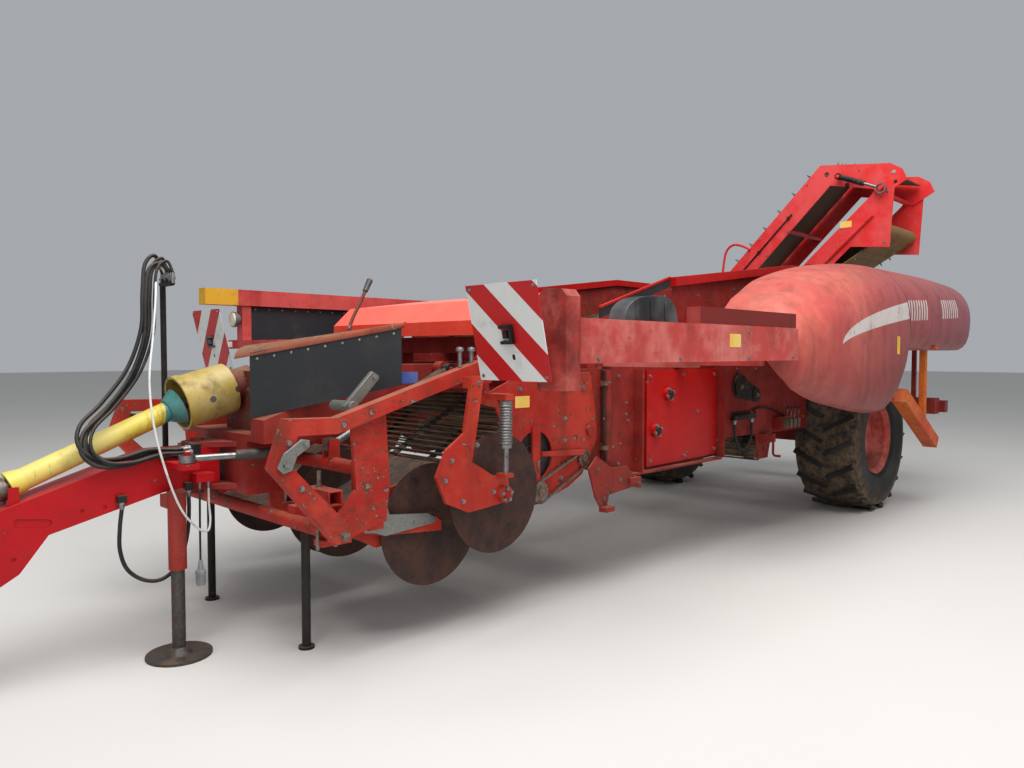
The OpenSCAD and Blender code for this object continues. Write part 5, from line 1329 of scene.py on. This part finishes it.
def add_valve_bank(red, dark, steel):
    """Four valves on their bracket, each with a lever and a knob."""
    add_box(red, (1.360, -0.955, 0.790), (1.700, WALL_Y, 0.880))
    for x in (1.400, 1.470, 1.540, 1.610):
        middle = x + 0.020
        add_box(steel, (x, -0.985, 0.800), (x + 0.040, -0.955, 0.870))
        sweep_circle(steel, ((middle, -0.970, 0.868), (middle, -0.985, 0.955)), 0.005, 8)
        knob = ((middle, -0.985, 0.950), (middle, -0.987, 0.966), (middle, -0.989, 0.978))
        sweep_circle(dark, knob, [0.008, 0.012, 0.004], 12)


CRANK = (
    (1.140, -0.945, 0.735), (1.140, -0.990, 0.735), (1.140, -1.000, 0.720), (1.140, -1.000, 0.620),
    (1.140, -1.012, 0.606), (1.140, -1.060, 0.606),
)
UPRIGHT_PIPE = (
    (-0.905, -0.944, 1.295), (-0.908, -0.946, 1.100), (-0.903, -0.946, 0.900), (-0.885, -0.944, 0.760),
)
VALVE_PIPE = (
    (0.990, -0.906, 0.960), (1.120, -0.906, 0.975), (1.300, -0.906, 0.950), (1.480, -0.906, 0.905),
    (1.520, -0.906, 0.882),
)


def add_crank_and_pipes(red, dark, steel):
    """The crank in its bracket, the upright pipe with its clips and the pipe to the valves."""
    add_box(red, (1.115, -0.960, 0.700), (1.265, WALL_Y, 0.765))
    sweep_circle(red, CRANK, 0.010, 12)
    sweep_circle(dark, smooth_route(UPRIGHT_PIPE, 5), 0.009, 10)
    for z in (1.220, 0.840):
        add_box(steel, (-0.920, -0.958, z - 0.012), (-0.880, -0.932, z + 0.012))
    sweep_circle(dark, smooth_route(VALVE_PIPE, 5), 0.008, 10)


def make_side_fittings():
    """Everything beside the channel's left wall, and the bearing caps of both sides."""
    red, dark, steel = bmesh.new(), bmesh.new(), bmesh.new()
    add_lower_bracket(red, steel)
    add_belt_drive(dark, steel)
    add_valve_bank(red, dark, steel)
    add_crank_and_pipes(red, dark, steel)
    for x, z in ((-0.190, 1.130), (-0.330, 0.900)):
        for side in (-1, 1):
            cap = [(x, side * y, z) for y in (0.9355, 0.948, 0.952)]
            sweep_circle(dark, cap, [0.024, 0.024, 0.018], 20)
    finish_piece("side_brackets", red, "chassis", "wall_paint", 0.003)
    finish_piece("side_drive_and_pipes", dark, "chassis", "black_paint")
    finish_piece("side_steel_parts", steel, "chassis", "worn_steel", 0.0015)


# Elevator

def evenly(first, last, count):
    """Numbers with equal steps from first to last."""
    return [first + (last - first) * k / (count - 1) for k in range(count)]


def make_boom_fingers():
    """Rows of rubber fingers that stand on the boom's belt."""
    bm = bmesh.new()
    for row in range(11):
        along = 0.200 + 0.220 * row
        for x in evenly(3.165, 3.835, 15):
            base = boom_point(x, along, -0.020)
            tip = boom_point(x, along + 0.004, -0.074)
            sweep_circle(bm, (base, tip), [0.006, 0.0035], 6)
    finish_piece("boom_fingers", bm, "boom", "sheet_rubber")


# The two brushes at the boom's top: foot y and z, tip y and z, and how fast their tips' heights vary
BRUSHES = ((-0.640, 3.110, -0.655, 3.262, 1.7), (-0.800, 3.085, -0.812, 3.222, 2.1))


def make_boom_brushes():
    """Two rows of bent brush hairs across the boom's top."""
    bm = bmesh.new()
    for k, x in enumerate(evenly(3.160, 3.840, 46)):
        lean = 0.020 * math.sin(k * 2.4)
        for foot_y, foot_z, tip_y, tip_z, pace in BRUSHES:
            tip = (x, tip_y + lean * 1.6, tip_z + 0.012 * math.cos(k * pace))
            sweep_circle(bm, ((x, foot_y + lean, foot_z), tip), [0.006, 0.003], 5)
    finish_piece("boom_brushes", bm, "boom", "finger_rubber")


def make_boom_pipes():
    """A clipped pipe along each outer side of the boom."""
    bm = bmesh.new()
    half_clip = Vector((0.011, 0.014, 0.014))
    for x in (3.090, 3.910):
        sweep_circle(bm, on_boom(x, 0.115, 0.35, 0.9, 1.5, 2.05), 0.008, 10)
        for seat in on_boom(x, 0.115, 0.45, 1.0, 1.55, 2.0):
            add_box(bm, Vector(seat) - half_clip, Vector(seat) + half_clip)
    finish_piece("boom_pipes", bm, "boom", "black_paint", 0.002)


GUIDE_TUBE = (
    (3.092, 0.560, 2.175), (3.088, 0.545, 2.350), (3.086, 0.510, 2.500), (3.086, 0.430, 2.560),
    (3.086, 0.330, 2.540), (3.092, 0.235, 2.492),
)


def make_guide_tube():
    """The bent tube that guides the hoses over the boom's side."""
    bm = bmesh.new()
    sweep_circle(bm, smooth_route(GUIDE_TUBE, 5), 0.013, 12)
    finish_piece("boom_guide_tube", bm, "boom", "boom_paint")


def make_tip_belt_ribs():
    """Cross ribs with end cleats on both runs of the folded belt."""
    bm = bmesh.new()
    low, high = Vector((0, -0.320, 2.105)), Vector((0, -1.075, 2.560))
    along = (high - low).normalized()
    up = Vector((0, along.z, -along.y))
    length = (high - low).length
    for k in range(9):
        for sign in (1, -1):
            middle = low + along * (length * (k + 0.5) / 9) + up * sign * 0.068
            tip = middle + up * sign * 0.030
            sweep_circle(bm, ((3.140, middle.y, middle.z), (3.860, middle.y, middle.z)), 0.007, 6)
            for x in (3.150, 3.850):
                sweep_circle(bm, ((x, middle.y, middle.z), (x, tip.y, tip.z)), 0.006, 6)
    finish_piece("tip_belt_ribs", bm, "tip", "tip_belt_rubber")


# Stage

def aim(place, target):
    """Rotation that points a light or camera from place to target."""
    return (Vector(target) - Vector(place)).to_track_quat("-Z", "Y").to_euler()


# The camera looks along a level heading, turned down by a share of it
CAMERA_PLACE = Vector((-4.5, -3.75, 1.4))
HEADING_X, HEADING_Y, LOOK_DOWN = 0.7096, 0.7046, 31 / 770


def make_camera():
    """The camera where the photographer stood, front left of the machine."""
    lens = bpy.data.cameras.new("camera")
    lens.lens = 27.07
    lens.sensor_width = 36.0
    lens.clip_end = 200.0
    camera = bpy.data.objects.new("camera", lens)
    bpy.context.scene.collection.objects.link(camera)
    level = math.hypot(HEADING_X, HEADING_Y)
    ahead = Vector((HEADING_X, HEADING_Y, -level * LOOK_DOWN))
    camera.location = CAMERA_PLACE
    camera.rotation_euler = aim(CAMERA_PLACE, CAMERA_PLACE + ahead)
    bpy.context.scene.camera = camera


def make_lights(brightness):
    """One wide soft light above, a weaker one from the photographer's side, and a pale sky."""
    # Columns: name, place, target, size, power
    lights = (
        ("sky_light", (-2.0, -3.0, 9.0), (0.0, 0.0, 1.0), 8.0, 1250.0),
        ("left_light", (-9.0, -7.0, 4.5), (-1.0, 0.0, 1.0), 5.0, 160.0),
    )
    for name, place, target, size, power in lights:
        light = bpy.data.lights.new(name, "AREA")
        light.energy = power * brightness
        light.size = size
        lamp = bpy.data.objects.new(name, light)
        lamp.location = place
        lamp.rotation_euler = aim(place, target)
        bpy.context.scene.collection.objects.link(lamp)
    world = bpy.data.worlds.new("studio")
    world.use_nodes = True
    sky = world.node_tree.nodes["Background"]
    sky.inputs["Color"].default_value = (0.90, 0.94, 1.0, 1.0)
    sky.inputs["Strength"].default_value = 0.42 * brightness
    bpy.context.scene.world = world
    bpy.context.scene.view_settings.view_transform = "Standard"


def floor_finish():
    """Plain pale studio floor."""
    f = Finish("studio_floor")
    tone = f.mix(f.noise(0.6, 3.0).between(0.3, 0.7) * 0.15, srgb(0.80, 0.79, 0.77), srgb(0.74, 0.73, 0.71))
    return f.surface(base_color=tone, roughness=0.9)


def make_floor():
    """The studio floor, wide enough to reach the horizon."""
    bm = bmesh.new()
    bmesh.ops.create_grid(bm, x_segments=1, y_segments=1, size=60.0)
    mesh = bpy.data.meshes.new("floor")
    bm.to_mesh(mesh)
    bm.free()
    mesh.materials.append(floor_finish())
    floor = bpy.data.objects.new("floor", mesh)
    bpy.context.scene.collection.objects.link(floor)


def dress_nodes():
    """Gives each CAD node its finish, also where a piece of this file stands for it."""
    for finish, nodes in FINISH_NODES.items():
        for node in nodes.split():
            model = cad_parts[node]
            for slot in model.material_slots:
                slot.material = FINISHES[finish]
            if not model.material_slots:
                model.data.materials.append(FINISHES[finish])


# Operators and panel

class HARVESTER_OT_stage(bpy.types.Operator):
    """Makes the camera, the lights and the pale floor"""

    bl_idname = "harvester.stage"
    bl_label = "Stage"

    def execute(self, context):
        make_camera()
        make_lights(context.scene.harvester_stage.brightness)
        make_floor()
        return {"FINISHED"}


class HARVESTER_OT_cords(bpy.types.Operator):
    """Lays the hoses and cables with their fittings"""

    bl_idname = "harvester.cords"
    bl_label = "Hoses and Cables"

    def execute(self, context):
        make_cords()
        make_hose_blocks()
        return {"FINISHED"}


class HARVESTER_OT_finishes(bpy.types.Operator):
    """Gives every CAD node its material"""

    bl_idname = "harvester.finishes"
    bl_label = "Finishes"

    def execute(self, context):
        dress_nodes()
        return {"FINISHED"}


class HARVESTER_OT_hoods(bpy.types.Operator):
    """Makes the rounded side hoods and the guard bars under them"""

    bl_idname = "harvester.hoods"
    bl_label = "Hoods"

    def execute(self, context):
        make_hoods(context.scene.harvester_pieces.hood_thickness)
        make_side_bars()
        return {"FINISHED"}


class HARVESTER_OT_bolts(bpy.types.Operator):
    """Places bolt heads, bare plates and the boards' fittings"""

    bl_idname = "harvester.bolts"
    bl_label = "Bolts and Plates"

    def execute(self, context):
        make_bolts()
        make_labels()
        make_board_fittings()
        return {"FINISHED"}


class HARVESTER_OT_front(bpy.types.Operator):
    """Makes the intake's and the front frame's small pieces"""

    bl_idname = "harvester.front"
    bl_label = "Intake and Front"

    def execute(self, context):
        make_sheet_flange()
        make_sheet_rivets()
        make_intake_fittings()
        make_tube_clamps()
        make_chain_drive()
        make_deck_lever()
        make_front_lamp()
        make_beam_cover()
        make_strip_edges()
        return {"FINISHED"}


class HARVESTER_OT_sides(bpy.types.Operator):
    """Makes the drive, valves and brackets beside the channel"""

    bl_idname = "harvester.sides"
    bl_label = "Side Fittings"

    def execute(self, context):
        make_side_fittings()
        return {"FINISHED"}


class HARVESTER_OT_elevator(bpy.types.Operator):
    """Makes the elevator's fingers, ribs, pipes and guide tube"""

    bl_idname = "harvester.elevator"
    bl_label = "Elevator Fittings"

    def execute(self, context):
        make_boom_fingers()
        make_boom_brushes()
        make_boom_pipes()
        make_guide_tube()
        make_tip_belt_ribs()
        return {"FINISHED"}


class HARVESTER_PG_pieces(bpy.types.PropertyGroup):
    """Sizes of the pieces"""

    hood_thickness: bpy.props.FloatProperty(
        name="Hood Thickness", description="Thickness of the side hoods", default=0.006,
        min=0.003, max=0.008, subtype="DISTANCE", unit="LENGTH")


class HARVESTER_PG_stage(bpy.types.PropertyGroup):
    """What a user would change on the stage"""

    brightness: bpy.props.FloatProperty(
        name="Brightness", description="Strength of all lights together", default=1.0,
        min=0.1, max=4.0, subtype="FACTOR")


STEPS = (
    HARVESTER_OT_stage, HARVESTER_OT_cords, HARVESTER_OT_finishes, HARVESTER_OT_hoods, HARVESTER_OT_bolts,
    HARVESTER_OT_front, HARVESTER_OT_sides, HARVESTER_OT_elevator,
)


class HARVESTER_PT_looks(bpy.types.Panel):
    """Lists the machine's pieces in the order they are made"""

    bl_label = "Harvester"
    bl_idname = "HARVESTER_PT_looks"
    bl_space_type = "VIEW_3D"
    bl_region_type = "UI"
    bl_category = "Harvester"

    def draw(self, context):
        column = self.layout.column(align=True)
        column.prop(context.scene.harvester_stage, "brightness")
        column.prop(context.scene.harvester_pieces, "hood_thickness")
        for step in STEPS:
            column.operator(step.bl_idname)


CLASSES = (HARVESTER_PG_stage, HARVESTER_PG_pieces, *STEPS, HARVESTER_PT_looks)


def register():
    for kind in CLASSES:
        bpy.utils.register_class(kind)
    bpy.types.Scene.harvester_stage = bpy.props.PointerProperty(type=HARVESTER_PG_stage)
    bpy.types.Scene.harvester_pieces = bpy.props.PointerProperty(type=HARVESTER_PG_pieces)


def unregister():
    del bpy.types.Scene.harvester_pieces
    del bpy.types.Scene.harvester_stage
    for kind in reversed(CLASSES):
        bpy.utils.unregister_class(kind)


def main():
    """Runs every step in order."""
    register()
    for step in STEPS:
        group, name = step.bl_idname.split(".")
        getattr(getattr(bpy.ops, group), name)()


if __name__ == "__main__":
    main()
